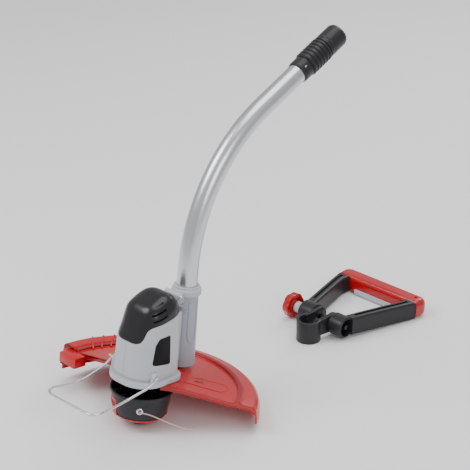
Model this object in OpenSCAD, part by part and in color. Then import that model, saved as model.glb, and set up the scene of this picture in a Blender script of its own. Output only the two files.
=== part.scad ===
// Electric string trimmer, lower half: motor head, bent shaft and loose D-handle.
// The machine stands on its bump knob and on the rear edge of the guard, leaning
// back a little. Everything on it is drawn with the spindle upright, and stand()
// then leans it. The origin is the centre of the knob's foot; -Y is the front.

/* [Cutting head] */
// Radius of the flat foot of the bump knob
foot_r = 12.5; // [10:0.5:15]
// Radius of the drum at its rim
drum_rim_r = 42.5; // [40:0.5:46]
// Height of the drum's rim
drum_rim_z = 50; // [48:1:56]
// Height of the underside of the drum's cap
drum_foot_z = 10; // [9:0.5:12]
// Wall of the drum
drum_wall = 2.4; // [2:0.2:3.2]
// Travel of the bump knob
bump_travel = 5; // [3:0.5:5.5]
// Diameter of the cutting line
line_d = 1.6; // [1.2:0.1:2.4]
// Direction of the line eyelet, from the front towards +X
eyelet_a = 45; // [35:1:55]

/* [Motor housing] */
// Width of the housing at its foot
body_w = 74; // [70:1:92]
// Front of the housing, ahead of the spindle
body_front = 36.5; // [35:0.5:46]
// Back of the housing, behind the spindle
body_back = 35; // [32:1:42]
// Height of the housing's foot
body_z = 77; // [75:1:90]
// Height of the crown
crown_z = 184; // [174:1:220]
// Wall of the housing
body_wall = 2.6; // [2:0.2:3.2]
// Radius of the motor can
motor_r = 24; // [21:0.5:26]
// Length of the motor can
motor_l = 44; // [38:1:45]
// Radius of the motor shaft
shaft_r = 3; // [2.5:0.25:4]

/* [Shaft tube] */
// Outer diameter of the tube
tube_d = 28; // [24:1:32]
// Wall of the tube
tube_wall = 1.5; // [1.2:0.1:2]
// Distance from the spindle to the tube
tube_y = 72; // [69:1:80]
// Height where the bend starts
bend_z = 200; // [190:1:240]
// Radius of the bend
bend_r = 242; // [200:1:290]
// Angle of the bend
bend_a = 59.5; // [50:0.5:66]
// Straight length after the bend, up to the coupler
upper_l = 74; // [62:1:90]

/* [Coupler] */
// Length of the smooth lower collar
collar_l = 18; // [15:1:22]
// Length of the ribbed nut
nut_l = 39; // [32:1:48]
// Length of the upper sleeve
sleeve_l = 34; // [28:1:42]
// Number of ribs on the nut
nut_ribs = 6; // [4:1:8]

/* [Guard] */
// Outer radius of the guard
guard_r = 160; // [146:1:186]
// Radius of the raised ridge
ridge_r = 132; // [122:1:137]
// Height of the deck at its rim
rim_z = 51; // [48:0.5:54]
// Height of the skirt's lower edge at its back
skirt_z = 18.1; // [15:0.2:21]
// Thickness of the guard
guard_t = 2.6; // [2:0.2:3.4]
// End of the guard on the cutter side, from the back
left_a = 90; // [80:1:100]
// End of the guard on the open side, from the back
right_a = 60; // [50:1:75]

/* [Wire bail] */
// Diameter of the wire
wire_d = 3.4; // [3:0.1:4]
// Reach ahead of its pivots
bail_reach = 114; // [95:1:136]
// Width between the front corners
bail_w = 96; // [88:1:110]

/* [D-handle] */
// Width across the grip
grip_w = 158; // [144:1:184]
// Depth from the bolt to the outside of the grip
loop_depth = 146; // [130:1:172]
// Thickness of the grip
grip_t = 28; // [24:1:32]
// Radius of the hub barrels
hub_r = 16.2; // [15:0.2:18]
// Radius of the clamping knob
knob_r = 19.2; // [18:0.2:22]
// Height of the clamp band
band_h = 33; // [28:1:37]

/* [Hidden] */
$fn = 96;

eps = 0.01;              // overlap that makes a cut clean
touch = 0.15;            // gap between fixed neighbours
run = 0.05;              // radial clearance of a running fit
free = 0.4;              // gap between moving neighbours
soft_fn = 28;            // facets of rounded shells

// the lean is where the knob's back edge and the skirt's back edge share the floor
lean = atan(skirt_z / (guard_r - foot_r));
floor_z = -foot_r * sin(lean);
skirt_low = skirt_z - 2.4;                 // the skirt is deeper, and cut level with the floor

knob_flare = 1.6;
knob_rim_r = foot_r + knob_flare;
cap_hole_r = knob_rim_r + free;
cap_t = 2.4;
cap_r = drum_rim_r - 5.8;                // widest part of the cap's band
floor_t = 2.4;
drum_floor_z = drum_rim_z - 9;           // underside of the drum's floor
chamber_r = cap_r - drum_wall - 0.6;
spool_r = cap_r - 5.6;                   // clears the cap's rounded corner
spool_z = drum_foot_z + cap_t + 0.6;
spool_top = drum_floor_z - bump_travel - 1.2;
spool_t = 1.8;
core_r = 11;
stem_r = 8;
eyelet_z = 31.5;
eyelet_r = drum_rim_r - 4.2;             // wall radius at the eyelet
eyelet_ro = 4.6;
eyelet_ri = 1.8;
tab_a = -34;                             // direction of the cap's first latch tab
tab_half = 24;
tab_t = 2.2;
tab_top_r = drum_rim_r - 2.6;
tab_lean = atan((tab_top_r - cap_r - 1.2) / (drum_rim_z - drum_foot_z - 22));

base_z = body_z - 11;                    // underside of the base ring
base_t = 4;
base_lip = 4.5;
groove_h = 3.2;
corner_r = 31;
bearing_r = 9.5;
bearing_h = 6;
lower_bearing_z = base_z + base_t;
fan_z = body_z + 5;
fan_h = 9;
can_z = fan_z + fan_h + 5;
can_top = can_z + motor_l;
bell_h = 7;
upper_bearing_z = can_top + bell_h - bearing_h;
crown_y = 19;
crown_rad = 23;
waist_z = body_z + 0.46 * (crown_z - body_z);   // where the dome starts
waist_in = 2.8;

tube_r = tube_d / 2;
tube_foot = body_z + 15;
socket_r = tube_r + 4.6;
socket_top_r = tube_r + 2.6;
socket_top = crown_z - 16;
collar_ring_r = tube_r + 6;
collar_h = 11;
lug_y = tube_y - tube_r - 10;
lug_w = 22;
coupler_bore = tube_r + run;
coupler_r = tube_r + 1.9;
nut_r = tube_r + 3.7;
sleeve_r = tube_r + 2.9;
insert_l = collar_l + 12;
pin_l = 9;
socket_bore = tube_r + 0.4;
plug_z = collar_l + nut_l;

deck_t = guard_t;
deck_in_r = 17;
deck_hub_z = base_z - touch;
step_r = ridge_r + 5;
shoulder_r = guard_r - 8;

ear_x = body_w / 2 + 1;
ear_y = -14;
ear_z = body_z + 5;
ear_r = 5.2;
ear_in_x = ear_x - 4;
ear_out_x = ear_x + 2.6;
pivot_in = 3.6;

handle_x = 12.5;
handle_y = 364;
ear_in = 9.5;
ear_t = 7;
band_t = 4;
band_y = -(tube_r + band_t + 19);
hub_in = ear_in + ear_t + free;
hub_out = 42;
bolt_r = 4;
spacer_l = 15;
spacer_r = 8.5;
knob_t = 14;
knob_x = -hub_out - spacer_l;
axle_z = floor_z + knob_r + 0.05;

module stand() { rotate([-lean, 0, 0]) children(); }
module at_polar(a) { rotate([0, 0, a]) children(); }       // 0 is the front, + towards +X
module ring(ro, ri, h) {
  difference() {
    cylinder(r = ro, h = h);
    translate([0, 0, -1]) cylinder(r = ri, h = h + 2);
  }
}
module bead(p, r) { translate(p) sphere(r = r, $fn = soft_fn); }
module along_x(p, r, l) { translate(p) rotate([0, 90, 0]) cylinder(r = r, h = l); }

// ---- housing ----
module plan(o) {
  w = body_w / 2 + o;
  hull() {
    for (s = [-1, 1]) translate([s * (w - corner_r - o), -body_front + corner_r])
      circle(r = corner_r + o, $fn = soft_fn);
    for (s = [-1, 1]) translate([s * (w - 12 - o), body_back - 12]) circle(r = 12 + o, $fn = soft_fn);
  }
}
module body_form(o, z0 = 0) {
  hull() {
    translate([0, 0, body_z - z0]) linear_extrude(1) plan(o);
    translate([0, 0, waist_z]) linear_extrude(1) plan(o - waist_in);
    for (s = [-1, 1]) {
      bead([s * 11, 2, crown_z - 31], crown_rad + o);
      bead([s * 10, crown_y, crown_z - crown_rad], crown_rad + o);
      bead([s * 14, body_back - 21, crown_z - 38], 19 + o);
    }
  }
}
// side outline of everything under the cover's lower edge
module cover_line(up) {
  front = -body_front - 20;
  back = body_back + 30;
  low = waist_z - 1.4;
  pts = [[front, low], [-33, low + 0.6], [-28, low + 3], [-24, low + 8], [-21, low + 15], [-17,
    low + 21.5],
    [-11, low + 24.5], [-4, low + 26], [22, low + 31.6], [back, low + 38]];
  ends = up ? [[back, crown_z + 60], [front, crown_z + 60]] : [[back, 0], [front, 0]];
  rotate([90, 0, 90]) translate([0, 0, -100]) linear_extrude(200)
    polygon(concat(pts, ends));
}
module tube_room() {
  translate([0, tube_y, 0]) cylinder(r = socket_r + touch, h = 400);
}
module web_form() {
  translate([-12, body_back - 14, body_z]) cube([24, tube_y - body_back + 8, socket_top - body_z - 18]);
}
module half(s) {
  difference() {
    intersection() {
      union() { body_form(0); web_form(); }
      translate([s > 0 ? touch / 2 : -200 - touch / 2, -200, 0]) cube([200, 400, 300]);
      cover_line(false);
    }
    difference() {
      body_form(-body_wall, 3);
      screw_at() rotate([0, 90, 0]) translate([0, 0, -100]) cylinder(r = 3.6, h = 200);
    }
    screw_at() rotate([0, 90, 0]) translate([0, 0, -100]) cylinder(r = 1.4, h = 106);
    tube_room();
    lug_block(touch);
    ear_room();
  }
}
module ear_room() {
  along_x([-100, ear_y, ear_z], ear_r + touch * 2, 100 - ear_in_x + touch * 2);
  along_x([ear_in_x - touch * 2, ear_y, ear_z], ear_r + touch * 2, 60);
  for (s = [-1, 1]) translate([s > 0 ? ear_in_x - touch * 2 : -60 - ear_in_x + touch * 2, ear_y - 6,
    body_z - 1])
    cube([60, 12, ear_z - body_z + 1]);
}
module screw_at() {
  for (p = [[-28, body_z + 14], [31, body_z + 12], [31, body_z + 60]]) translate([0, p[0],
    p[1]]) children();
}
module housing_left() { color("#c4c7ca") stand() half(-1); }
module housing_right() { color("#c4c7ca") stand() half(1); }
module housing_screws() {
  color("#a8acb0") stand() screw_at() rotate([0, 90, 0]) {
    translate([0, 0, -body_w / 2 + 1]) cylinder(r = 1.3, h = body_w / 2 + 5);
  }
}
vent_slope = 19;
module vents() {
  for (i = [0:2]) translate([0, -4, crown_z - 10.5 - 7.6 * i]) rotate([vent_slope, 0, 0])
    translate([-60, -12, -1.1]) cube([120, 24, 2.2]);
}
module top_cover() {
  color("#4a4b4f") stand() difference() {
    intersection() {
      body_form(0);
      translate([0, 0, touch]) cover_line(true);
    }
    body_form(-body_wall, 3);
    vents();
    tube_room();
    translate([0, 0, -touch]) lug_block(1);
  }
}
badge_pts = [[12, 57], [-7, 55], [-13, 47], [-17, 20], [13, 16.5]];
module badge(s) {
  intersection() {
    difference() { body_form(1); body_form(touch); }
    rotate([90, 0, 90]) translate([0, 0, s > 0 ? 20 : -80]) linear_extrude(60)
      polygon([for (p = badge_pts) [p[0], p[1] + body_z]]);
  }
}
module badge_left() { color("#141516") stand() badge(-1); }
module badge_right() { color("#141516") stand() badge(1); }

// ---- base ring with the bail's ears ----
module base_ring() {
  color("#c4c7ca") stand() {
    difference() {
      union() {
        translate([0, 0, base_z]) linear_extrude(body_z - groove_h - base_z) plan(base_lip);
        translate([0, 0, base_z]) linear_extrude(body_z - touch - base_z) plan(-1.5);
        for (s = [-1, 1]) hull() {
          along_x([s > 0 ? ear_in_x : -ear_out_x, ear_y, ear_z], ear_r, ear_out_x - ear_in_x);
          translate([s > 0 ? ear_in_x : -ear_out_x, ear_y - 6, base_z + 3]) cube([ear_out_x - ear_in_x,
            12, 2]);
        }
      }
      translate([0, 0, base_z + base_t]) linear_extrude(20) plan(-body_wall - 2);
      translate([0, 0, base_z - 1]) cylinder(r = shaft_r + 1.5, h = 20);
      for (s = [-1, 1]) along_x([s * ear_x - 10, ear_y, ear_z], wire_d / 2 + run, 20);
      guard_screw_at() translate([0, 0, -20]) cylinder(r = 1.3, h = 40);
      tube_room();
    }
    translate([0, 0, base_z + base_t]) ring(bearing_r + 2.5, bearing_r, bearing_h);
  }
}

// ---- tube socket ----
module lug_block(g) {
  translate([-lug_w / 2 - g, lug_y - 7 - g, socket_top - 8 - g])
    cube([lug_w + 2 * g, tube_y - lug_y + 7, 15 + 2 * g]);
}
module tube_socket() {
  color("#b4b8be") stand() difference() {
    union() {
      translate([0, tube_y, base_z]) cylinder(r1 = socket_r, r2 = socket_top_r, h = socket_top - base_z);
      for (s = [-1, 1]) hull() {
        translate([s * (socket_r - 3.2), tube_y - 3, base_z + 26]) cylinder(r = 3, h = 1);
        translate([s * (socket_top_r - 2.6), tube_y - 3, socket_top - 20]) cylinder(r = 3, h = 1);
      }
      hull() {
        translate([-lug_w / 2, lug_y - 6, socket_top - 8]) cube([lug_w, 16, 7]);
        translate([-9, tube_y - 12, socket_top - 16]) cube([18, 4, 6]);
      }
    }
    translate([0, tube_y, tube_foot]) cylinder(r = tube_r + run, h = 200);
    translate([0, tube_y, base_z - 1]) cylinder(r = 6, h = 60);
    lead_hole();
    along_x([-40, lug_y, socket_top - 2], 1.6, 80);
  }
}
module lead_hole() { translate([0, tube_y, tube_foot - 12]) rotate([90, 0, 0]) cylinder(r = 4.5,
  h = 60); }
module socket_collar() {
  color("#bfc2c6") stand() difference() {
    union() {
      translate([0, tube_y, socket_top + touch]) cylinder(r = collar_ring_r, h = collar_h - 3);
      translate([0, tube_y, socket_top + collar_h - 3]) cylinder(r = collar_ring_r - 2.2, h = 4.5);
      translate([-lug_w / 2, lug_y - 6, socket_top + touch]) cube([lug_w, 16, 7]);
      along_x([-lug_w / 2 - 3, lug_y, socket_top + 4], 4.4, lug_w + 6);
    }
    translate([0, tube_y, socket_top - 1]) cylinder(r = tube_r + run, h = collar_h + 10);
    along_x([-40, lug_y, socket_top + 4], 1.8, 80);
    translate([-50, lug_y - 20, socket_top - 10]) cube([100, 40, 10 + touch]);
  }
}
module collar_screw() {
  color("#a8acb0") stand() {
    along_x([-lug_w / 2 - 6, lug_y, socket_top + 4], 1.7, lug_w + 10);
    along_x([lug_w / 2 + 3 + touch, lug_y, socket_top + 4], 3.2, 2.4);
  }
}

// ---- motor ----
module motor_can() {
  color("#8d9094") stand() difference() {
    translate([0, 0, can_z]) cylinder(r = motor_r, h = motor_l);
    translate([0, 0, can_z + 2]) cylinder(r = motor_r - 1.6, h = motor_l);
    translate([0, 0, can_z - 1]) cylinder(r = bearing_r, h = 10);
  }
}
module motor_end_bell() {
  color("#2c2d30") stand() difference() {
    union() {
      translate([0, 0, can_top]) cylinder(r = motor_r - 1.2, h = 2);
      translate([0, 0, can_top + 1]) cylinder(r = motor_r - 8, h = bell_h + 1);
    }
    translate([0, 0, can_top - 1]) cylinder(r = bearing_r - 3, h = 20);
    translate([0, 0, upper_bearing_z]) cylinder(r = bearing_r, h = 20);
    translate([0, 0, can_top - 1]) cylinder(r = motor_r - 9, h = 1 + touch);
  }
}
module motor_magnets() {
  color("#33353a") stand() for (s = [0, 180]) rotate([0, 0, s - 60]) translate([0, 0, can_z + 5])
    rotate_extrude(angle = 120) translate([motor_r - 5, 0]) square([5 - 1.6 - touch, motor_l - 16]);
}
module brush_holders() {
  color("#b08d3e") stand() for (s = [-1, 1]) translate([s * 13 - 4.5, -4, can_top - 9]) difference() {
    cube([9, 8, 8]);
    translate([-1, 1.7, 1.7]) cube([11, 4.6, 4.6]);
  }
}
module carbon_brushes() {
  color("#1c1c1e") stand() for (s = [-1, 1])
    translate([s > 0 ? 6.6 : -15.6, -2.2, can_top - 7.2]) cube([9, 4.4, 4.4]);
}
module lower_bearing() {
  color("#d5d8dc") stand() translate([0, 0, lower_bearing_z + 0.2])
    ring(bearing_r - touch / 3, shaft_r + run, bearing_h - 0.4);
}
module upper_bearing() {
  color("#d5d8dc") stand() translate([0, 0, upper_bearing_z + 0.2])
    ring(bearing_r - touch / 3, shaft_r + run, bearing_h - 0.4);
}
module motor_shaft() {
  color("#d5d8dc") stand() translate([0, 0, drum_floor_z - 2])
    cylinder(r = shaft_r, h = upper_bearing_z + bearing_h + 3 - drum_floor_z);
}
module armature() {
  color("#b5703a") stand() translate([0, 0, can_z + 7]) difference() {
    cylinder(r = motor_r - 6.4, h = motor_l - 22);
    translate([0, 0, -1]) cylinder(r = shaft_r, h = 100);
    for (i = [0:6]) rotate([0, 0, i * 360 / 7]) translate([motor_r - 12, -1.2, -1]) cube([12, 2.4, 100]);
  }
}
module commutator() {
  color("#c98a4b") stand() translate([0, 0, can_top - 11]) ring(6.2, shaft_r, 10);
}
module cooling_fan() {
  fan_r = motor_r + 1;
  color("#2c2d30") stand() translate([0, 0, fan_z]) {
    ring(fan_r, shaft_r, 1.6);
    translate([0, 0, 1.6 - eps]) ring(7, shaft_r, fan_h - 3);
    for (i = [0:10]) rotate([0, 0, i * 360 / 11]) translate([9, -0.8, 1.6 - eps]) cube([fan_r - 10,
      1.6, fan_h - 3]);
  }
}

// ---- cutting head ----
module drum_outline(o) {
  polygon([[0, drum_foot_z + 3], [cap_r - 5 + o, drum_foot_z + 3], [cap_r - 1.2 + o, drum_foot_z + 6.5],
    [cap_r + 0.3 + o, drum_foot_z + 11], [drum_rim_r - 3.2 + o, drum_rim_z - 15],
    [drum_rim_r - 2 + o, drum_rim_z - 4], [drum_rim_r + o, drum_rim_z - 3], [drum_rim_r + o, drum_rim_z],
    [0, drum_rim_z]]);
}
module tab_sector(a, extra) {
  rotate([0, 0, a - 90 - tab_half - extra]) rotate_extrude(angle = 2 * (tab_half + extra)) children();
}
module drum() {
  color("#47484b") stand() difference() {
    rotate_extrude() drum_outline(0);
    translate([0, 0, drum_floor_z + floor_t]) cylinder(r = drum_rim_r - 2 - drum_wall, h = 20);
    translate([0, 0, drum_foot_z - 1]) cylinder(r = chamber_r, h = drum_floor_z - drum_foot_z + 1);
    translate([0, 0, drum_floor_z - 1]) cylinder(r = shaft_r, h = 30);
    for (a = [tab_a, tab_a + 180]) tab_sector(a, 1.5)
      translate([drum_rim_r - 7.2, drum_foot_z]) square([12, drum_rim_z - 8 - drum_foot_z]);
    at_polar(eyelet_a) translate([0, -20, eyelet_z]) rotate([90, 0, 0]) cylinder(r = 3, h = 40);
    at_polar(eyelet_a) translate([0, 0.7 - eyelet_r, eyelet_z]) rotate([90, 0,
      0]) cylinder(r = eyelet_ro + touch, h = 10);
    translate([0, 0, drum_foot_z]) ring(60, cap_r - 7, 3.4);
  }
}
module head_fins() {
  color("#1a1b1d") stand() translate([0, 0, drum_floor_z + floor_t]) {
    ring(8.5, shaft_r, 13);
    for (i = [0:11]) rotate([0, 0, i * 30]) translate([8, -0.9, 0])
      cube([drum_rim_r - drum_wall - 12.5, 1.8, 7.5]);
    difference() {
      cylinder(r = drum_rim_r - 3 - drum_wall, h = 1.5);
      translate([0, 0, -1]) cylinder(r = 8, h = 4);
    }
  }
}
module drum_cap() {
  color("#c92b2f") stand() {
    rotate_extrude() polygon([[cap_hole_r, drum_foot_z], [cap_r - 9, drum_foot_z], [cap_r - 4,
      drum_foot_z + 1.6],
      [cap_r - 0.6, drum_foot_z + 6], [cap_r - 1.5, drum_foot_z + 6], [cap_r - 4.8, drum_foot_z + 2.85],
      [cap_r - 9, drum_foot_z + cap_t], [cap_hole_r, drum_foot_z + cap_t]]);
    for (a = [tab_a, tab_a + 180]) tab_sector(a, 0) polygon([[cap_r - 2.4, drum_foot_z + 4.4],
      [cap_r + 0.3, drum_foot_z + 5.2], [cap_r + 1.2, drum_foot_z + 12], [tab_top_r, drum_rim_z - 10],
      [tab_top_r - tab_t, drum_rim_z - 10], [cap_r - 1.2, drum_foot_z + 10], [cap_r - 1.2,
        drum_foot_z + 5.6]]);
    for (a = [tab_a, tab_a + 180], i = [-4:4]) rotate([0, 0, a + i * 4.6]) translate([0, 1.85 - cap_r, 0])
      rotate([tab_lean, 0, 0]) translate([-0.6, -1.4, drum_foot_z + 14])
        cube([1.2, 1.4, drum_rim_z - drum_foot_z - 28]);
  }
}
module line_eyelet() {
  color("#c9ccd0") stand() at_polar(eyelet_a) translate([0, -eyelet_r, eyelet_z]) rotate([90, 0, 0]) {
    translate([0, 0, -0.6]) ring(eyelet_ro, eyelet_ri, 2.2);
    translate([0, 0, -4]) ring(2.9, eyelet_ri, 4);
  }
}
module spool() {
  color("#26272a") stand() {
    for (z = [spool_z, spool_top - spool_t]) translate([0, 0, z]) ring(spool_r, core_r - 1, spool_t);
    translate([0, 0, spool_z]) ring(core_r, stem_r + run, spool_top - spool_z);
  }
}
module wound_line() {
  color("#c7402f") stand() translate([0, 0, spool_z + spool_t + touch])
    ring(spool_r - 5, core_r + touch, spool_top - spool_z - 2 * (spool_t + touch));
}
module bump_knob() {
  color("#1a1b1d") stand() {
    rotate_extrude() polygon([[0, 0], [foot_r, 0], [foot_r + 1.2, 1.4], [knob_rim_r, 4],
      [knob_rim_r, spool_z - 0.2], [stem_r, spool_z - 0.2], [stem_r, spool_top - 8], [0, spool_top - 8]]);
  }
}
spring_turns = 4;
module feed_spring() {
  r = 6.4;
  w = 0.7;
  z0 = spool_top - 8 + w + 0.1;
  z1 = drum_floor_z - w - 0.1;
  color("#9a9da2") stand() for (i = [0:spring_turns]) translate([0, 0, z0 + (z1 - z0) * i / spring_turns])
    rotate_extrude() translate([r, 0]) circle(r = w);
}

// the cutting line leaves the eyelet and curls round to the open side
line_pts = [[25.5, -25.5, 31.5], [28, -28, 31.6], [30.6, -29.6, 32], [33.6, -29.8, 32.6], [36.8, -28.4,
  32.8],
  [40.2, -25.8, 32.4], [44, -23, 31.4], [49, -19.6, 30], [55, -16, 28.2], [61, -12.8, 26.4], [67, -9.8,
    25.2],
  [73, -7, 24.2], [79, -4.2, 23.3], [85, -1, 22.6], [90.5, 3, 22.2], [95, 8, 22.2]];
line_sides = 8;
line_steps = 2;                          // rings from one point to the next
function unit(v) = v / norm(v);
function line_at(i) = line_pts[max(0, min(i, len(line_pts) - 1))];
function line_point(i, t) = let (a = line_at(i - 1), b = line_at(i), c = line_at(i + 1),
  d = line_at(i + 2))
  b + (c - a) * t / 2 + (2 * a - 5 * b + 4 * c - d) * t * t / 2 + (3 * b - a - 3 * c + d) * t * t * t / 2;
line_curve = [for (i = [0:len(line_pts) - 2], k = [0:line_steps - 1]) line_point(i, k / line_steps),
  line_at(len(line_pts) - 1)];
function line_dir(i) = unit(line_curve[min(i + 1, len(line_curve) - 1)] - line_curve[max(i - 1, 0)]);
function line_ring(i) = let (d = line_dir(i), u = unit(cross(d, [0, 0, 1])), v = cross(u, d))
  [for (k = [0:line_sides - 1]) line_curve[i] + line_d / 2 * (u * cos(k * 360 / line_sides)
    + v * sin(k * 360 / line_sides))];
module cutting_line() {
  n = len(line_curve);
  m = line_sides;
  pts = [for (i = [0:n - 1]) each line_ring(i)];
  sides = [for (i = [0:n - 2], k = [0:m - 1]) [i * m + k, i * m + (k + 1) % m, (i + 1) * m + (k + 1) % m,
    (i + 1) * m + k]];
  ends = [[for (k = [m - 1:-1:0]) k], [for (k = [0:m - 1]) (n - 1) * m + k]];
  color("#d8b9a8") stand() polyhedron(points = pts, faces = concat(sides, ends));
}

// ---- guard ----
module guard_profile() {
  slope = (deck_hub_z - 2 - rim_z) / (ridge_r - 60);
  polygon([[deck_in_r, deck_hub_z], [46, deck_hub_z], [62, deck_hub_z - 2], [ridge_r - 4,
    rim_z + 4 * slope],
    [ridge_r - 3, rim_z + 3.4], [ridge_r + 3, rim_z + 2.8], [step_r, rim_z], [shoulder_r, rim_z - 2.4],
    [guard_r - 3, rim_z - 7], [guard_r - 0.8, rim_z - 14], [guard_r, skirt_low + 2], [guard_r, skirt_low],
    [guard_r - deck_t, skirt_low], [guard_r - deck_t, skirt_low + 2], [guard_r - deck_t - 0.8,
      rim_z - 14],
    [guard_r - 5.6, rim_z - 8.6], [shoulder_r - 1.6, rim_z - 5], [ridge_r - 3, rim_z - deck_t],
    [62, deck_hub_z - 2 - deck_t], [46, deck_hub_z - deck_t], [deck_in_r, deck_hub_z - deck_t]]);
}
module guard_screw_at() {
  for (p = [[-22, 20], [22, 20], [0, 32]]) translate([p[0], p[1], base_z]) children();
}
module on_edge(a, r) { rotate([0, 0, a]) translate([0, r, 0]) children(); }
module guard() {
  color("#e5383f") stand() difference() {
    union() {
      rotate([0, 0, 90 - right_a - 40]) rotate_extrude(angle = right_a + 40 + left_a) guard_profile();
      at_open_edge() open_rim();
      on_edge(left_a, 0) rotate([90, 0, 90]) translate([0, 0, -0.3]) edge_rim(2.6);
      // raised rim and slanted ribs behind the cutter side
      rotate([0, 0, 90 + left_a - 34]) rotate_extrude(angle = 33.8) raised_rim();
      for (i = [0:4]) on_edge(left_a - 16 - i * 8, ridge_r) rotate([0, 0, 30])
        translate([-1.6, -10, rim_z - 1.4]) cube([3.2, 22, 5.4]);
      // pocket outline on the open side's deck
      for (y = [62, 112]) on_edge(-right_a + 12, y) translate([-6, -1, rim_z - 1]) cube([12, 2,
        10 - (y - 60) * 0.12]);
      on_edge(-right_a + 12, 62) translate([-6, 0, rim_z - 1]) cube([2, 50, 4.4]);
      // box that carries the line cutter
      on_edge(left_a, 0) translate([-19, 112, rim_z - 14]) cube([20, 33, 15]);
    }
    on_edge(left_a, 0) translate([-17, 114, rim_z - 15]) cube([16, 22, 9.5]);
    open_cut();
    guard_screw_at() translate([0, 0, -20]) cylinder(r = 1.8, h = 30);
    cutter_screw_at() translate([0, 0, -30]) cylinder(r = 1.1, h = 40);
    below_floor();
    translate([0, 0, base_z]) cylinder(r = 44, h = 30);
    translate([86, 0, skirt_low]) rotate([0, -11, 0]) translate([0, -300, -60]) cube([200, 600, 60]);
  }
}
module raised_rim() {
  polygon([[ridge_r + 3, rim_z - 1], [ridge_r + 5, rim_z + 5], [shoulder_r, rim_z + 6], [guard_r - 3,
    rim_z + 3],
    [guard_r + 0.3, rim_z - 4], [guard_r + 0.3, rim_z - 16], [guard_r - 2, rim_z - 15.6],
    [guard_r - 4.3, rim_z - 7.9], [shoulder_r - 0.8, rim_z - 3.7]]);
}
open_from = [34, -5];
open_to = [guard_r * sin(right_a), guard_r * cos(right_a)];
open_dir = atan2(open_to[1] - open_from[1], open_to[0] - open_from[0]);
module at_open_edge() { translate([open_from[0], open_from[1], 0]) rotate([0, 0, open_dir]) children(); }
module open_cut() {
  at_open_edge() translate([0, -300 - touch, -10]) cube([400, 300, 150]);
  translate([deck_in_r + 12, -200 + open_from[1], -10]) cube([20, 200, 150]);
}
module edge_rim(w) {
  linear_extrude(w) polygon([[50, deck_hub_z - deck_t], [62, deck_hub_z - 3], [ridge_r, rim_z - 1],
    [shoulder_r, rim_z - 4], [shoulder_r - 3, rim_z - 8], [ridge_r, rim_z - 7], [62, deck_hub_z - 9],
    [50, deck_hub_z - 8]]);
}
module open_rim() {
  reach = norm(open_to - open_from);
  translate([0, 2.6, 0]) rotate([90, 0, 0]) linear_extrude(2.6) polygon([[4, deck_hub_z - deck_t],
    [30, deck_hub_z - 3], [reach - 32, rim_z - 1], [reach - 8, rim_z - 4], [reach - 10, rim_z - 8],
    [reach - 32, rim_z - 7], [30, deck_hub_z - 9], [8, deck_hub_z - 8]]);
}
module below_floor() {
  rotate([lean, 0, 0]) translate([-400, -400, floor_z - 60]) cube([800, 800, 60]);
}
module guard_screws() {
  color("#a8acb0") stand() guard_screw_at() {
    translate([0, 0, -deck_t - 2.2]) cylinder(r = 3.2, h = 2);
    translate([0, 0, -deck_t - 0.4]) cylinder(r = 1.25, h = deck_t + 3.4);
  }
}
cutter_x = 139;
module cutter_screw_at() {
  on_edge(left_a, cutter_x) for (x = [-14, -5]) translate([x, 0, rim_z]) children();
}
module line_cutter() {
  plate_z = rim_z - 14 - 1.4 - touch;
  color("#17181a") stand() on_edge(left_a, cutter_x) difference() {
    union() {
      translate([-19, -4.5, plate_z]) cube([20, 9, 1.4]);
      translate([-1.4, -4.5, plate_z - 12]) cube([2.4, 9, 12 + 1.4]);
      translate([-0.9, 0, plate_z - 12]) rotate([90, 0, 90]) linear_extrude(1.4)
        polygon([[-4.5, 0], [4.5, 0], [4.5, 4], [-4.5, 4]]);
      hull() {
        translate([0, -4.5, plate_z - 12]) cube([1, 9, 2]);
        translate([15, 1, plate_z - 14]) cube([1, 2, 1.4]);
      }
    }
    for (x = [-14, -5]) translate([x, 0, plate_z - 1]) cylinder(r = 1.3, h = 5);
  }
}
module cutter_screws() {
  color("#a8acb0") stand() cutter_screw_at() {
    translate([0, 0, -14 - 1.4 - touch - 1.8]) cylinder(r = 2.3, h = 1.8);
    translate([0, 0, -14 - 1.4 - touch - 0.4]) cylinder(r = 1.05, h = 8);
  }
}

// ---- wire bail ----
bail_side = [[ear_x - pivot_in, ear_y, ear_z], [ear_x + 5.4, ear_y, ear_z], [ear_x + 5, ear_y - 14,
  ear_z - 9],
  [ear_x + 2, ear_y - 62, ear_z - 20], [bail_w / 2, ear_y - bail_reach + 9, ear_z - 19],
  [bail_w / 2 - 9, ear_y - bail_reach, ear_z - 20]];
function flip(p) = [-p[0], p[1], p[2]];
bail_path = concat(bail_side, [for (i = [len(bail_side) - 1:-1:0]) flip(bail_side[i])]);
module rod(a, b, r) {
  v = b - a;
  translate(a) rotate([0, acos(v[2] / norm(v)), atan2(v[1], v[0])]) cylinder(r = r, h = norm(v));
}
module wire_bail() {
  color("#c9ccd0") stand() {
    for (i = [0:len(bail_path) - 2]) rod(bail_path[i], bail_path[i + 1], wire_d / 2);
    for (i = [1:len(bail_path) - 2]) translate(bail_path[i]) sphere(r = wire_d / 2 + 0.06, $fn = 24);
  }
}

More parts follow.
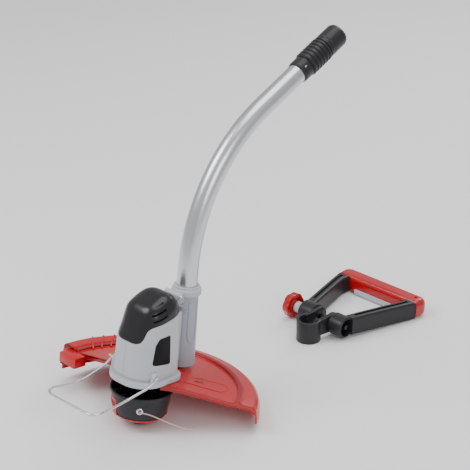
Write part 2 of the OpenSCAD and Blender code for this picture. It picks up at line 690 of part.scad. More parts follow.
// ---- tube and coupler ----
bend_y = tube_y + bend_r;
module bent(ro, ri, z0, l) {
  difference() {
    bent_solid(ro, z0, l);
    bent_solid(ri, z0 - 1, l + 1);
  }
}
module bent_solid(r, z0, l) {
  translate([0, tube_y, z0]) cylinder(r = r, h = bend_z - z0);
  translate([0, bend_y, bend_z]) rotate([0, -90, 0]) rotate([0, 0, -90])
    rotate_extrude(angle = bend_a) translate([bend_r, 0]) circle(r = r);
  at_bend_end() cylinder(r = r, h = l);
}
module at_bend_end() {
  translate([0, bend_y, bend_z]) rotate([-bend_a, 0, 0]) translate([0, -bend_r, 0]) children();
}
module at_coupler() { at_bend_end() translate([0, 0, upper_l]) children(); }
module tube() { color("#c3c6ca") stand() bent(tube_r, tube_r - tube_wall, tube_foot, upper_l + insert_l); }
module power_lead() {
  color("#222326") stand() bent_solid(3.1, tube_foot - 8, upper_l + plug_z - 6);
}
module coupler_collar() {
  color("#47484b") stand() at_coupler() ring(coupler_r, coupler_bore, collar_l - touch);
}
module coupler_nut() {
  pitch = nut_l / nut_ribs;
  color("#47484b") stand() at_coupler() translate([0, 0, collar_l]) difference() {
    union() {
      cylinder(r = nut_r - 1.4, h = nut_l - free);
      for (i = [0:nut_ribs - 1]) translate([0, 0, pitch * i + 0.8]) cylinder(r = nut_r, h = pitch * 0.55);
    }
    translate([0, 0, -1]) cylinder(r = coupler_bore, h = nut_l + 2);
  }
}
module coupler_sleeve() {
  color("#47484b") stand() at_coupler() translate([0, 0, plug_z]) difference() {
    union() {
      cylinder(r = sleeve_r, h = sleeve_l - 3);
      translate([0, 0, sleeve_l - 3 - eps]) cylinder(r1 = sleeve_r, r2 = sleeve_r - 1.8, h = 3);
    }
    translate([0, 0, pin_l + 7]) cylinder(r = socket_bore, h = sleeve_l);
    translate([0, 0, 5]) cylinder(r = 11.6, h = pin_l + 3);
    translate([0, 0, -1]) cylinder(r = 4, h = 10);
  }
}
module connector_block() {
  color("#1c1d1f") stand() at_coupler() translate([0, 0, plug_z + 5 + touch]) difference() {
    ring(10, 3.4, 7);
    for (s = [-1, 1]) translate([s * 6.5, 0, -1]) cylinder(r = 1.2, h = 10);
  }
}
module contact_pins() {
  color("#c9a24a") stand() at_coupler() translate([0, 0, plug_z + 5 + touch + 0.6])
    for (s = [-1, 1]) translate([s * 6.5, 0, 0]) cylinder(r = 1.15, h = pin_l);
}

// ---- loose D-handle, lying on the floor ----
module at_handle() { translate([handle_x, handle_y, axle_z]) children(); }
loop_droop = asin((axle_z - floor_z - grip_t / 2) / (loop_depth - grip_t / 2));
module loop_tilt() { at_handle() rotate([-loop_droop, 0, 0]) children(); }
module handle_clamp() {
  low = floor_z - axle_z + 0.05;
  color("#55565a") at_handle() difference() {
    union() {
      translate([0, band_y, low]) cylinder(r = tube_r + band_t, h = band_h);
      for (s = [-1, 1]) {
        translate([s > 0 ? ear_in : -ear_in - ear_t, band_y, low]) cube([ear_t, -band_y, band_h]);
        along_x([s > 0 ? ear_in : -ear_in - ear_t, 0, 0], hub_r - 2, ear_t);
      }
    }
    translate([0, band_y, low - 1]) cylinder(r = tube_r + 0.3, h = band_h + 2);
    translate([-ear_in, band_y + 2, -40]) cube([2 * ear_in, 80, 80]);
    along_x([-50, 0, 0], bolt_r + run, 100);
  }
}
loop_out = grip_w / 2;
arm_w = 20;
module loop_plan(o) {
  offset(r = o) difference() {
    hull() {
      translate([-hub_out, 0]) square([2 * hub_out, 6]);
      for (s = [-1, 1]) translate([s * (loop_out - 14), loop_depth - 14]) circle(r = 14, $fn = 48);
    }
    hull() {
      translate([-hub_in - 8, -1]) square([2 * (hub_in + 8), 12]);
      for (s = [-1, 1]) translate([s * (loop_out - arm_w - 14),
        loop_depth - grip_t - 10]) circle(r = 10, $fn = 48);
    }
  }
}
module handle_frame() {
  color("#47484b") loop_tilt() difference() {
    union() {
      difference() {
        translate([0, 0, -grip_t / 2]) linear_extrude(grip_t) difference() {
          loop_plan(0);
          grip_zone(touch);
        }
        for (s = [-1, 1]) arm_channel(s);
      }
      for (s = [-1, 1]) along_x([s > 0 ? hub_in : -hub_out, 0, 0], hub_r, hub_out - hub_in);
      translate([-loop_out + arm_w - 2, loop_depth - grip_t - 4, -grip_t / 2 + 4])
        cube([2 * (loop_out - arm_w + 2), 16, 7]);
    }
    translate([-hub_in, -hub_r - 5, -30]) cube([2 * hub_in, 2 * hub_r + 10, 60]);
    along_x([-50, 0, 0], bolt_r + run, 100);
    along_x([hub_out - 14, 0, 0], hub_r - 3, 20);
    along_x([-hub_out - spacer_l, 0, 0], spacer_r + free, spacer_l);
  }
}
// the arms are open channels on both faces
module arm_channel(s) {
  for (z = [4, -4 - 20]) hull() {
    translate([s * (hub_out - 6) - 1.6, 20, z]) cube([3.2, 1, 20]);
    translate([s * (loop_out - arm_w / 2 - 2) - 1.6, loop_depth - grip_t - 12, z]) cube([3.2, 1, 20]);
  }
}
module grip_zone(g) {
  translate([-loop_out - 5, loop_depth - grip_t - g]) square([2 * loop_out + 10, grip_t + 5]);
}
module handle_grip() {
  color("#d3222b") loop_tilt() difference() {
    translate([0, 0, -grip_t / 2]) linear_extrude(grip_t) intersection() {
      loop_plan(0);
      grip_zone(0);
    }
    translate([-loop_out + arm_w - 2 - touch, loop_depth - grip_t - 1, -grip_t / 2 - 1])
      cube([2 * (loop_out - arm_w + 2 + touch), 4 + 9 + touch, 5 + 7 + touch]);
  }
}
module clamp_knob() {
  color("#d3222b") at_handle() translate([knob_x - knob_t, 0, 0]) rotate([0, 90, 0]) difference() {
    union() {
      cylinder(r = knob_r - 4, h = knob_t - 3);
      for (i = [0:5]) rotate([0, 0, i * 60]) translate([knob_r - 6.5, 0, 0]) cylinder(r = 6.5,
        h = knob_t - 3);
      cylinder(r = 9, h = knob_t);
    }
    translate([0, 0, -1]) cylinder(r = bolt_r + run, h = knob_t + 2);
    translate([0, 0, -1]) ring(knob_r - 5.5, 7.5, 7);
  }
}
module clamp_bolt() {
  color("#b9bcc0") at_handle() along_x([knob_x - knob_t + 1, 0, 0], bolt_r, hub_out - knob_x + knob_t - 6);
}
module clamp_nut() {
  color("#b9bcc0") at_handle() translate([hub_out - 14 + touch, 0, 0]) rotate([0, 90, 0]) difference() {
    cylinder(r = 7.6, h = 6.5, $fn = 6);
    translate([0, 0, -1]) cylinder(r = bolt_r, h = 9);
  }
}
module clamp_spacer() {
  color("#c9ccd0") at_handle() translate([knob_x + touch, 0, 0]) rotate([0, 90, 0])
    ring(spacer_r, bolt_r + 0.3, spacer_l - 2 * touch);
}

housing_left();
housing_right();
top_cover();
badge_left();
badge_right();
base_ring();
tube_socket();
socket_collar();
collar_screw();
motor_can();
motor_end_bell();
motor_magnets();
brush_holders();
carbon_brushes();
lower_bearing();
upper_bearing();
housing_screws();
motor_shaft();
armature();
commutator();
cooling_fan();
drum();
head_fins();
drum_cap();
line_eyelet();
spool();
wound_line();
bump_knob();
feed_spring();
cutting_line();
guard();
guard_screws();
line_cutter();
cutter_screws();
wire_bail();
tube();
power_lead();
coupler_collar();
coupler_nut();
coupler_sleeve();
connector_block();
contact_pins();
handle_clamp();
handle_frame();
handle_grip();
clamp_knob();
clamp_bolt();
clamp_nut();
clamp_spacer();
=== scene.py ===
# String trimmer: motor head with its drum and guard, bent tube, and a loose D-handle beside it.
import math
import bpy
import bmesh
import numpy as np
from mathutils import Matrix, Vector
from mathutils.bvhtree import BVHTree


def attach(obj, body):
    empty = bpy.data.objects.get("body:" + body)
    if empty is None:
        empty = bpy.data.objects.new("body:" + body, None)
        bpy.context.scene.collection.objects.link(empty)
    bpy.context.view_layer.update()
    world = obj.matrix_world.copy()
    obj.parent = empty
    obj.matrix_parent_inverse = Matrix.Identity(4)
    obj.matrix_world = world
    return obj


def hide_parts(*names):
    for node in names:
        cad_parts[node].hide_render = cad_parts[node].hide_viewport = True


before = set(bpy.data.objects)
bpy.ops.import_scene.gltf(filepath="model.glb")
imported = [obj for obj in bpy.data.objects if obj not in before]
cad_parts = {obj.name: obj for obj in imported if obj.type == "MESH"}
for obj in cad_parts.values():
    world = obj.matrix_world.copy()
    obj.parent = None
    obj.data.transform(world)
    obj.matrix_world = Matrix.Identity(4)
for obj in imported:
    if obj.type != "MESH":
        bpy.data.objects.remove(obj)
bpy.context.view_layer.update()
mm = 0.001

# the machine leans back on its knob and guard; shapes are drawn upright and then leaned
machine = {"guardR": 160.0, "skirtZ": 18.1, "footR": 12.5}
leanAngle = math.atan(machine["skirtZ"] / (machine["guardR"] - machine["footR"]))
leaned = Matrix.Rotation(-leanAngle, 4, "X")
floorZ = -machine["footR"] * math.sin(leanAngle)


# camera
view = {"at": (1.41118, -1.27536, 1.17183), "right": (0.71983757, 0.69414044, -0.00170826),
        "up": (-0.29572319, 0.30889549, 0.90395319), "back": (0.62799814, -0.6501943,
                                                              0.427628), "lens": 126.63}


def setCamera():
    data = bpy.data.cameras.new("camera")
    data.lens = view["lens"]
    data.sensor_width = 36
    data.clip_end = 20
    camera = bpy.data.objects.new("camera", data)
    turn = Matrix((view["right"], view["up"], view["back"])).transposed()
    camera.matrix_world = Matrix.Translation(view["at"]) @ turn.to_4x4()
    bpy.context.scene.collection.objects.link(camera)
    bpy.context.scene.camera = camera


setCamera()
print("camera set")


# shader maths
class Wire:
    def __init__(self, paint, socket):
        self.paint = paint
        self.socket = socket

    def math(self, operation, first, second):
        return self.paint.add("ShaderNodeMath", {"operation": operation}, {0: first, 1: second})

    def __add__(self, other):
        return self.math("ADD", self, other)

    def __sub__(self, other):
        return self.math("SUBTRACT", self, other)

    def __rsub__(self, other):
        return self.math("SUBTRACT", other, self)

    def __mul__(self, other):
        return self.math("MULTIPLY", self, other)

    __radd__ = __add__
    __rmul__ = __mul__


class Paint:
    def __init__(self, name):
        self.material = bpy.data.materials.new(name)
        self.material.use_nodes = True
        self.tree = self.material.node_tree
        self.tree.nodes.clear()
        self.output = self.tree.nodes.new("ShaderNodeOutputMaterial")

    def add(self, kind, settings=None, values=None, out=0):
        node = self.tree.nodes.new(kind)
        for key, value in (settings or {}).items():
            if key == "stops":
                ramp = node.color_ramp
                while len(ramp.elements) < len(value):
                    ramp.elements.new(0.5)
                for element, (place, colour) in zip(ramp.elements, value):
                    element.position = place
                    element.color = (*colour, 1) if len(colour) == 3 else colour
            else:
                setattr(node, key, value)
        for key, value in (values or {}).items():
            if isinstance(value, Wire):
                self.tree.links.new(value.socket, node.inputs[key])
            else:
                node.inputs[key].default_value = value
        return Wire(self, node.outputs[out])

    def blend(self, share, first, second):
        mix = self.tree.nodes.new("ShaderNodeMix")
        mix.data_type = "RGBA"
        for key, value in ((0, share), (6, first), (7, second)):
            if isinstance(value, Wire):
                self.tree.links.new(value.socket, mix.inputs[key])
            else:
                mix.inputs[key].default_value = (*value, 1) if key > 0 else value
        return Wire(self, mix.outputs[2])

    def finish(self, shader):
        self.tree.links.new(shader.socket, self.output.inputs["Surface"])
        return self.material


# moulded plastic: an even grain, slow drifts of shade, faint scuffs and pores
def mouldedPlastic(name, colour, rough, grain=0.10, scuff=0.10, soft=0.0, coat=0.0, shine=0.5):
    paint = Paint(name)
    place = paint.add("ShaderNodeTexCoord", out=3)
    drift = paint.add("ShaderNodeTexNoise", None, {"Vector": place, "Scale": 14.0, "Detail": 4.0})
    fine = paint.add("ShaderNodeTexNoise", None, {"Vector": place, "Scale": 1500.0, "Detail": 3.0})
    stretched = paint.add("ShaderNodeMapping", None, {"Vector": place, "Scale": (30.0, 160.0, 500.0)})
    rub = paint.add("ShaderNodeTexNoise", None,
                    {"Vector": stretched, "Scale": 1.0, "Detail": 6.0, "Roughness": 0.7})
    scratch = paint.add("ShaderNodeMapRange", {"interpolation_type": "SMOOTHSTEP"},
                        {"Value": rub, "From Min": 0.62, "From Max": 0.78})
    low = tuple(c * 0.93 for c in colour)
    high = tuple(min(1.0, c * 1.07 + 0.003) for c in colour)
    pale = tuple(c + (0.75 - c) * 0.22 for c in colour)
    base = paint.blend(drift, low, high)
    base = paint.blend(scratch * scuff, base, pale)
    roughness = rough + (fine - 0.5) * 0.14 + scratch * 0.12 + (drift - 0.5) * 0.08
    height = fine * grain + rub * 0.03
    bump = paint.add("ShaderNodeBump", None, {"Strength": 0.35, "Distance": 0.0003, "Height": height})
    return paint.finish(paint.add("ShaderNodeBsdfPrincipled", None, {
        "Base Color": base, "Roughness": roughness, "Normal": bump, "Subsurface Weight": soft,
        "Subsurface Radius": (0.006, 0.0015, 0.001), "Coat Weight": coat, "Coat Roughness": 0.18,
        "IOR": 1.5, "Specular IOR Level": shine}))


# drawn or turned metal: streaks follow the mesh's own u (round) and v (along) directions
def drawnMetal(name, colour, rough, streak=(220.0, 2.0), depth=0.25, spots=0.05):
    paint = Paint(name)
    uv = paint.add("ShaderNodeTexCoord", out=2)
    place = paint.add("ShaderNodeTexCoord", out=3)
    along = paint.add("ShaderNodeMapping", None, {"Vector": uv, "Scale": (streak[0], streak[1], 1.0)})
    lines = paint.add("ShaderNodeTexNoise", None,
                      {"Vector": along, "Scale": 1.0, "Detail": 5.0, "Roughness": 0.6})
    cloud = paint.add("ShaderNodeTexNoise", None, {"Vector": place, "Scale": 35.0, "Detail": 5.0})
    fine = paint.add("ShaderNodeTexNoise", None, {"Vector": place, "Scale": 1800.0, "Detail": 2.0})
    mark = paint.add("ShaderNodeMapRange", {"interpolation_type": "SMOOTHSTEP"},
                     {"Value": cloud, "From Min": 0.6, "From Max": 0.8})
    low = tuple(c * 0.86 for c in colour)
    high = tuple(min(1.0, c * 1.08) for c in colour)
    base = paint.blend(lines, low, high)
    base = paint.blend(mark * spots, base, tuple(c * 0.7 for c in colour))
    roughness = rough + (lines - 0.5) * 0.22 + mark * 0.1 + (fine - 0.5) * 0.05
    bump = paint.add("ShaderNodeBump", None,
                     {"Strength": depth, "Distance": 0.0001, "Height": lines + fine * 0.3})
    return paint.finish(paint.add("ShaderNodeBsdfPrincipled", None, {
        "Base Color": base, "Metallic": 1.0, "Roughness": roughness, "Normal": bump}))


finishes = {
    "shell": mouldedPlastic("paleGreyShell", (0.47, 0.495, 0.53), 0.36, scuff=0.12),
    # a darker, bluer copy of the shell's grey: painted shade on the tube sleeve and its lug, wedge, loops and ribs
    "socket": mouldedPlastic("socketGreyPaintedShade", (0.345, 0.375, 0.425), 0.38, scuff=0.12),
    "cover": mouldedPlastic("charcoalCover", (0.012, 0.012, 0.014), 0.24, grain=0.12, scuff=0.03,
                            shine=0.4),
    "charcoal": mouldedPlastic("charcoalMoulding", (0.016, 0.0165, 0.019), 0.36, grain=0.2, scuff=0.04,
                               shine=0.35),
    "black": mouldedPlastic("blackMoulding", (0.003, 0.003, 0.0035), 0.36, scuff=0.02, shine=0.2),
    "badge": mouldedPlastic("blackBadge", (0.0015, 0.0015, 0.002), 0.3, grain=0.03, scuff=0.01, shine=0.15),
    "guard": mouldedPlastic("redGuard", (0.50, 0.004, 0.009), 0.24, grain=0.05, scuff=0.02, soft=0.05),
    # a darker copy of the guard's red, painted shade on its rims, ridge band and short ribs
    "rib": mouldedPlastic("redGuardPaintedShade", (0.30, 0.001, 0.003), 0.24, grain=0.05, scuff=0.02),
    "trim": mouldedPlastic("redTrim", (0.44, 0.001, 0.004), 0.22, grain=0.06, scuff=0.02, coat=0.15),
    "tube": drawnMetal("brushedTube", (0.66, 0.675, 0.70), 0.30, streak=(260.0, 3.0)),
    "steel": drawnMetal("brightWire", (0.72, 0.73, 0.74), 0.22, streak=(30.0, 40.0), depth=0.1),
    "blade": drawnMetal("blackenedBlade", (0.05, 0.05, 0.055), 0.36, streak=(8.0, 60.0)),
    "copper": drawnMetal("copperWinding", (0.72, 0.33, 0.16), 0.30, streak=(4.0, 90.0)),
    "carbon": mouldedPlastic("carbonBlock", (0.03, 0.03, 0.032), 0.62, scuff=0.02),
    "line": mouldedPlastic("nylonLine", (0.55, 0.36, 0.33), 0.35, grain=0.02, scuff=0.02, soft=0.2),
    "rubber": mouldedPlastic("leadRubber", (0.02, 0.02, 0.02), 0.6, scuff=0.03),
}
print("finishes made")


# mesh helpers; shapes are lists of points in millimetres and faces
def joined(*shapes):
    verts, faces = [], []
    for points, polygons in shapes:
        start = len(verts)
        verts.extend(points)
        faces.extend([[i + start for i in f] for f in polygons])
    return verts, faces


def moved(shape, matrix):
    return [tuple(matrix @ Vector(v)) for v in shape[0]], shape[1]


# rings of equal length joined side by side; loop joins the last ring to the first
def loft(rings, loop=False, closed=True, caps=True):
    n = len(rings[0])
    verts = [tuple(p) for ring in rings for p in ring]
    count = len(rings)
    faces = []
    for i in range(count if loop else count - 1):
        a, b = i * n, (i + 1) % count * n
        for k in range(n if closed else n - 1):
            j = (k + 1) % n
            faces.append([a + k, a + j, b + j, b + k])
    if caps and closed and not loop:
        faces.append(list(range(n))[::-1])
        faces.append(list(range((count - 1) * n, count * n)))
    return verts, faces


# a flat outline's corners rounded with short arcs; the radius is one number or one for each corner
def rounded(points, radius, steps=4, closed=True):
    n = len(points)
    out = []
    for i in range(n):
        p = np.array(points[i], float)
        r = radius[i] if isinstance(radius, (list, tuple)) else radius
        if r <= 0 or (not closed and i in (0, n - 1)):
            out.append(tuple(p))
            continue
        a, b = np.array(points[i - 1], float) - p, np.array(points[(i + 1) % n], float) - p
        la, lb = np.linalg.norm(a), np.linalg.norm(b)
        angle = math.acos(max(-1.0, min(1.0, float(a @ b) / (la * lb))))
        reach = min(r / max(math.tan(angle / 2), 0.05), 0.46 * la, 0.46 * lb)
        start, end = p + a / la * reach, p + b / lb * reach
        for k in range(steps + 1):
            t = k / steps
            out.append(tuple(start * (1 - t) ** 2 + p * 2 * t * (1 - t) + end * t * t))
    return out


# a closed outline of radius and height pairs turned round Z, all the way or from start to end in degrees
def lathe(outline, steps=96, start=0.0, end=360.0):
    whole = end - start >= 360
    rings = []
    for i in range(steps if whole else steps + 1):
        a = math.radians(start + (end - start) * i / steps)
        rings.append([(r * math.sin(a), -r * math.cos(a), z) for r, z in outline])
    return loft(rings, loop=whole)


def prism(outline, low, high):
    return loft([[(x, y, low) for x, y in outline], [(x, y, high) for x, y in outline]])


def block(low, high):
    (a, b, c), (d, e, f) = low, high
    return prism([(a, b), (d, b), (d, e), (a, e)], c, f)


# a section carried along a path of points, turning with it
def sweep(path, section, first=(0, 0, 1)):
    pts = [Vector(p) for p in path]
    side = Vector(first)
    rings = []
    for i, p in enumerate(pts):
        ahead = (pts[min(i + 1, len(pts) - 1)] - pts[max(i - 1, 0)]).normalized()
        side = (side - ahead * side.dot(ahead)).normalized()
        across = ahead.cross(side)
        here = section(i / (len(pts) - 1)) if callable(section) else section
        rings.append([tuple(p + side * u + across * v) for u, v in here])
    return loft(rings)


def circle(r, sides=24):
    return [(r * math.cos(2 * math.pi * k / sides),
             r * math.sin(2 * math.pi * k / sides)) for k in range(sides)]


# points at even steps along a line of points
def evenly(path, step, closed=False):
    pts = [np.array(p, float) for p in path] + ([np.array(path[0], float)] if closed else [])
    lengths = np.cumsum([0.0] + [float(np.linalg.norm(b - a)) for a, b in zip(pts, pts[1:])])
    count = max(2, int(round(lengths[-1] / step)))
    marks = np.linspace(0, lengths[-1], count + 1)[:-1 if closed else None]
    table = np.array(pts)
    return [tuple(float(np.interp(m, lengths, table[:, k])) for k in range(table.shape[1])) for m in marks]


def alongX(shape):
    return moved(shape, Matrix.Rotation(math.radians(90), 4, "Y"))


def shifted(shape, x, y, z):
    return moved(shape, Matrix.Translation((x, y, z)))


def turned(shape, degrees, axis="Z"):
    return moved(shape, Matrix.Rotation(math.radians(degrees), 4, axis))


# an outline drawn as (z, y) is laid so that its thickness runs along x
def onSide(shape):
    return moved(shape, Matrix(((0, 0, 1, 0), (0, 1, 0, 0), (1, 0, 0, 0), (0, 0, 0, 1))))


def rawMesh(name, shape, place):
    mesh = bpy.data.meshes.new(name)
    mesh.from_pydata([tuple(place @ (Vector(v) * mm)) for v in shape[0]], [], shape[1])
    work = bmesh.new()
    work.from_mesh(mesh)
    bmesh.ops.remove_doubles(work, verts=work.verts, dist=2e-6)
    bmesh.ops.dissolve_degenerate(work, edges=work.edges, dist=1e-7)
    bmesh.ops.recalc_face_normals(work, faces=work.faces)
    work.to_mesh(mesh)
    work.free()
    obj = bpy.data.objects.new(name, mesh)
    bpy.context.scene.collection.objects.link(obj)
    return obj


# every piece: mesh, holes cut, edges rounded, smooth shading up to the angle, finish, body
def makePiece(name, shape, finish, standsFor=(), body="trimmer", place=leaned, sharp=35, edge=0.0,
              holes=(), steps=2, wall=0.0, limit=32):
    obj = rawMesh(name, shape, place)
    cutters = [rawMesh(f"{name}Cut{i}", hole, place) for i, hole in enumerate(holes)]
    if wall:
        shell = obj.modifiers.new("wall", "SOLIDIFY")
        shell.thickness = wall * mm
        shell.offset = -1
    for cutter in cutters:
        cut = obj.modifiers.new("cut", "BOOLEAN")
        cut.operation = "DIFFERENCE"
        cut.solver = "EXACT"
        cut.object = cutter
    if edge:
        soften = obj.modifiers.new("edge", "BEVEL")
        soften.width = edge * mm
        soften.segments = steps
        soften.limit_method = "ANGLE"
        soften.angle_limit = math.radians(limit)
        soften.use_clamp_overlap = True
    if obj.modifiers:
        graph = bpy.context.evaluated_depsgraph_get()
        obj.data = bpy.data.meshes.new_from_object(obj.evaluated_get(graph))
        obj.modifiers.clear()
    for cutter in cutters:
        bpy.data.objects.remove(cutter)
    obj.data.name = name
    obj.data.shade_smooth()
    obj.data.set_sharp_from_angle(angle=math.radians(sharp))
    obj.data.materials.clear()
    obj.data.materials.append(finishes[finish])
    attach(obj, body)
    if standsFor:
        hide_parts(*standsFor)
    return obj


# u round and v along a swept mesh, for streaked metal; rings lie one after another
def streakUv(obj, around, metresRound, step):
    layer = obj.data.uv_layers.new(name="streak")
    for polygon in obj.data.polygons:
        for k, loopIndex in enumerate(polygon.loop_indices):
            v = obj.data.loops[loopIndex].vertex_index
            layer.data[loopIndex].uv = ((v % around) / around * metresRound, (v // around) * step)


# cutting line: the route in millimetres, upright frame
lineRoute = [(25.5, -25.5, 31.5), (28, -28, 31.6), (30.6, -29.6, 32), (33.6, -29.8, 32.6),
             (36.8, -28.4, 32.8),
             (40.2, -25.8, 32.4), (44, -23, 31.4), (49, -19.6, 30), (55, -16, 28.2), (61, -12.8, 26.4),
             (67, -9.8, 25.2), (73, -7, 24.2), (79, -4.2, 23.3), (85, -1, 22.6), (90.5, 3, 22.2), (95, 8,
                     22.2)]
cutLine = {"thick": 1.6, "sides": 14, "perSpan": 4}


def smoothRoute(points, perSpan):
    pts = [Vector(p) for p in points]
    out = []
    for i in range(len(pts) - 1):
        a, b, c, d = pts[max(i - 1, 0)], pts[i], pts[i + 1], pts[min(i + 2, len(pts) - 1)]
        for k in range(perSpan):
            t = k / perSpan
            bend = (2 * a - 5 * b + 4 * c - d) * t * t / 2 + (3 * b - a - 3 * c + d) * t ** 3 / 2
            out.append(b + (c - a) * t / 2 + bend)
    return out + [pts[-1]]


def makeLine():
    path = smoothRoute(lineRoute, cutLine["perSpan"])
    shape = sweep(path, circle(cutLine["thick"] / 2, cutLine["sides"]))
    obj = makePiece("trimmerLine", shape, "line", ("cutting_line",), "head", sharp=60)
    world = [leaned @ (p * mm) for p in path]
    length = sum((b - a).length for a, b in zip(world, world[1:]))


makeLine()
print("cutting line laid")


# housing: a hull of round forms, seen from inside by rays so that the grid is even
housing = {"halfW": 37.0, "front": 36.5, "back": 35.0, "foot": 77.0, "crown": 184.0, "waist": 126.22,
           "waistIn": 2.8,
           "cornerR": 31.0, "backR": 12.0, "crownY": 19.0, "crownR": 23.0, "wall": 2.4, "gap": 0.22}


def planPoints(grow, z, count=96):
    h = housing
    discs = [(s * (h["halfW"] - h["cornerR"]), -h["front"] + h["cornerR"], h["cornerR"]) for s in (-1, 1)]
    discs += [(s * (h["halfW"] - h["backR"]), h["back"] - h["backR"], h["backR"]) for s in (-1, 1)]
    out = []
    for k in range(count):
        a = 2 * math.pi * k / count
        n = (math.sin(a), -math.cos(a))
        x, y, r = max(discs, key=lambda d: d[0] * n[0] + d[1] * n[1] + d[2])
        out.append((x + (r + grow) * n[0], y + (r + grow) * n[1], z))
    return out


def bodyTree():
    h = housing
    points = planPoints(0, h["foot"]) + planPoints(-h["waistIn"], h["waist"]) + planPoints(-h["waistIn"],
            h["waist"] + 1)
    for s in (-1, 1):
        for x, y, z, r in ((s * 11, 2, h["crown"] - 31, h["crownR"]),
                           (s * 10, h["crownY"], h["crown"] - h["crownR"], h["crownR"]),
                           (s * 14, h["back"] - 21, h["crown"] - 38, 19)):
            for i in range(1, 24):
                up = math.radians(-90 + 180 * i / 24)
                for k in range(48):
                    a = 2 * math.pi * k / 48
                    points.append((x + r * math.cos(up) * math.sin(a), y - r * math.cos(up) * math.cos(a),
                                   z + r * math.sin(up)))
    work = bmesh.new()
    for p in points:
        work.verts.new(p)
    bmesh.ops.convex_hull(work, input=work.verts)
    tree = BVHTree.FromBMesh(work)
    work.free()
    return tree


hull = bodyTree()
domeAt = Vector((0, 8, 138))


# the surface point seen from the axis at a turn and a height share from foot to crown
def bodyPoint(turn, share):
    if share < 0.5:
        start = Vector((0, 6, housing["foot"] + (domeAt.z - housing["foot"]) * share * 2))
        ray = Vector((math.sin(turn), -math.cos(turn), 0))
    else:
        start = domeAt
        up = (share - 0.5) * math.pi
        ray = Vector((math.sin(turn) * math.cos(up), -math.cos(turn) * math.cos(up), math.sin(up)))
    hit = hull.ray_cast(start + ray * 0.01, ray)[0]
    return hit if hit else start


# the cover's lower edge: level at the front, an S at the side, then rising to the back
edgeLine = [(-60, 124.8), (-36, 124.9), (-32, 125.8), (-28.5, 128.2), (-25, 133), (-22.5, 138.5),
            (-19.5, 144), (-15.5, 147.5),
            (-10, 149.6), (-3, 151.3), (22, 156.5), (60, 164)]


def edgeHeight(y):
    return float(np.interp(y, [p[0] for p in edgeLine], [p[1] for p in edgeLine]))


# the hull's creases relaxed above the waist, on a grid of turns and heights
def bodyGrid(turns):
    shares = np.linspace(0, 1, 180)
    half = np.array([[tuple(bodyPoint(turn, s)) for s in shares] for turn in turns])
    whole = np.concatenate([half, half[-2:0:-1] * np.array([-1, 1, 1])])
    ease = np.clip((shares - 0.40) / 0.12, 0, 1)[None, :, None]
    for _ in range(70):
        along = whole.copy()
        along[:, 1:-1] = (whole[:, :-2] + whole[:, 2:]) / 2
        around = (np.roll(whole, 1, 0) + np.roll(whole, -1, 0)) / 2
        whole += ease * (0.25 * (along - whole) + 0.25 * (around - whole))
    return whole[:len(turns)]


def column(points, rowsLow, rowsHigh):
    line = [Vector(p) for p in points]
    above = [p.z - edgeHeight(p.y) for p in line]
    cut = next(i for i, v in enumerate(above) if v > 0)
    t = above[cut - 1] / (above[cut - 1] - above[cut])
    border = line[cut - 1].lerp(line[cut], t)
    low = resampled([tuple(p) for p in line[:cut]] + [tuple(border)], rowsLow)
    high = resampled([tuple(border)] + [tuple(p) for p in line[cut:]], rowsHigh)
    return low, high


def resampled(path, count):
    pts = np.array(path)
    lengths = np.concatenate([[0], np.cumsum(np.linalg.norm(np.diff(pts, axis=0), axis=1))])
    marks = np.linspace(0, lengths[-1], count)
    return [tuple(float(np.interp(m, lengths, pts[:, k])) for k in range(3)) for m in marks]


def makeHousing():
    h = housing
    half = 72
    turns = [math.pi * i / half for i in range(half + 1)]
    columns = [column(points, 30, 44) for points in bodyGrid(turns)]
    for side, name in ((1, "shellRight"), (-1, "shellLeft")):
        rings = []
        for low, high in columns:
            ring = [(max(x, h["gap"] / 2) * side, y, z) for x, y, z in low]
            ring[-1] = (ring[-1][0], ring[-1][1], ring[-1][2] - h["gap"])
            rings.append(ring)
        web = webShape(side)
        makePiece(name, loft(rings, closed=False), "shell",
                  ("housing_right",) if side > 0 else ("housing_left",), wall=h["wall"],
                  edge=0.45, sharp=40)
        makePiece(name + "Web", web, "shell", edge=1.0, sharp=40)
    cover = []
    for i in range(2 * half):
        low, high = columns[i if i <= half else 2 * half - i]
        s = 1 if i <= half else -1
        ring = [(s * x, y, z) for x, y, z in high]
        ring[0] = (ring[0][0], ring[0][1], ring[0][2] + h["gap"])
        cover.append(ring)
    makePiece("topCover", loft(cover, loop=True, closed=False), "cover", ("top_cover",),
              wall=h["wall"],
              edge=0.5, sharp=40, holes=ventHoles())


# the spine that ties each half to the tube's sleeve
def webShape(side):
    a = 0.1 * side
    b = 12 * side
    return prism([(min(a, b), 29), (max(a, b), 29), (max(a, b), 55.2), (min(a, b), 53.6)], 77.3, 149.6)


def ventHoles():
    slots = []
    for i in range(3):
        outline = rounded([(-11, -1.1), (11, -1.1), (11, 1.1), (-11, 1.1)], 1.0, 3)
        for low, high in ((-70, -21), (21, 70)):
            slot = moved(prism(outline, low, high),
                         Matrix(((0, 0, 1, 0), (1, 0, 0, 0), (0, 1, 0, 0), (0, 0, 0, 1))))
            slots.append(shifted(turned(slot, 19, "X"), 0, -3, housing["crown"] - 10.5 - 7.6 * i))
    return slots


# blank dark badge let into each side
badge = {"outline": [(12, 57), (-6, 55.5), (-12.5, 47), (-17, 20), (13, 16.5)], "proud": 0.55, "thick": 1.0}


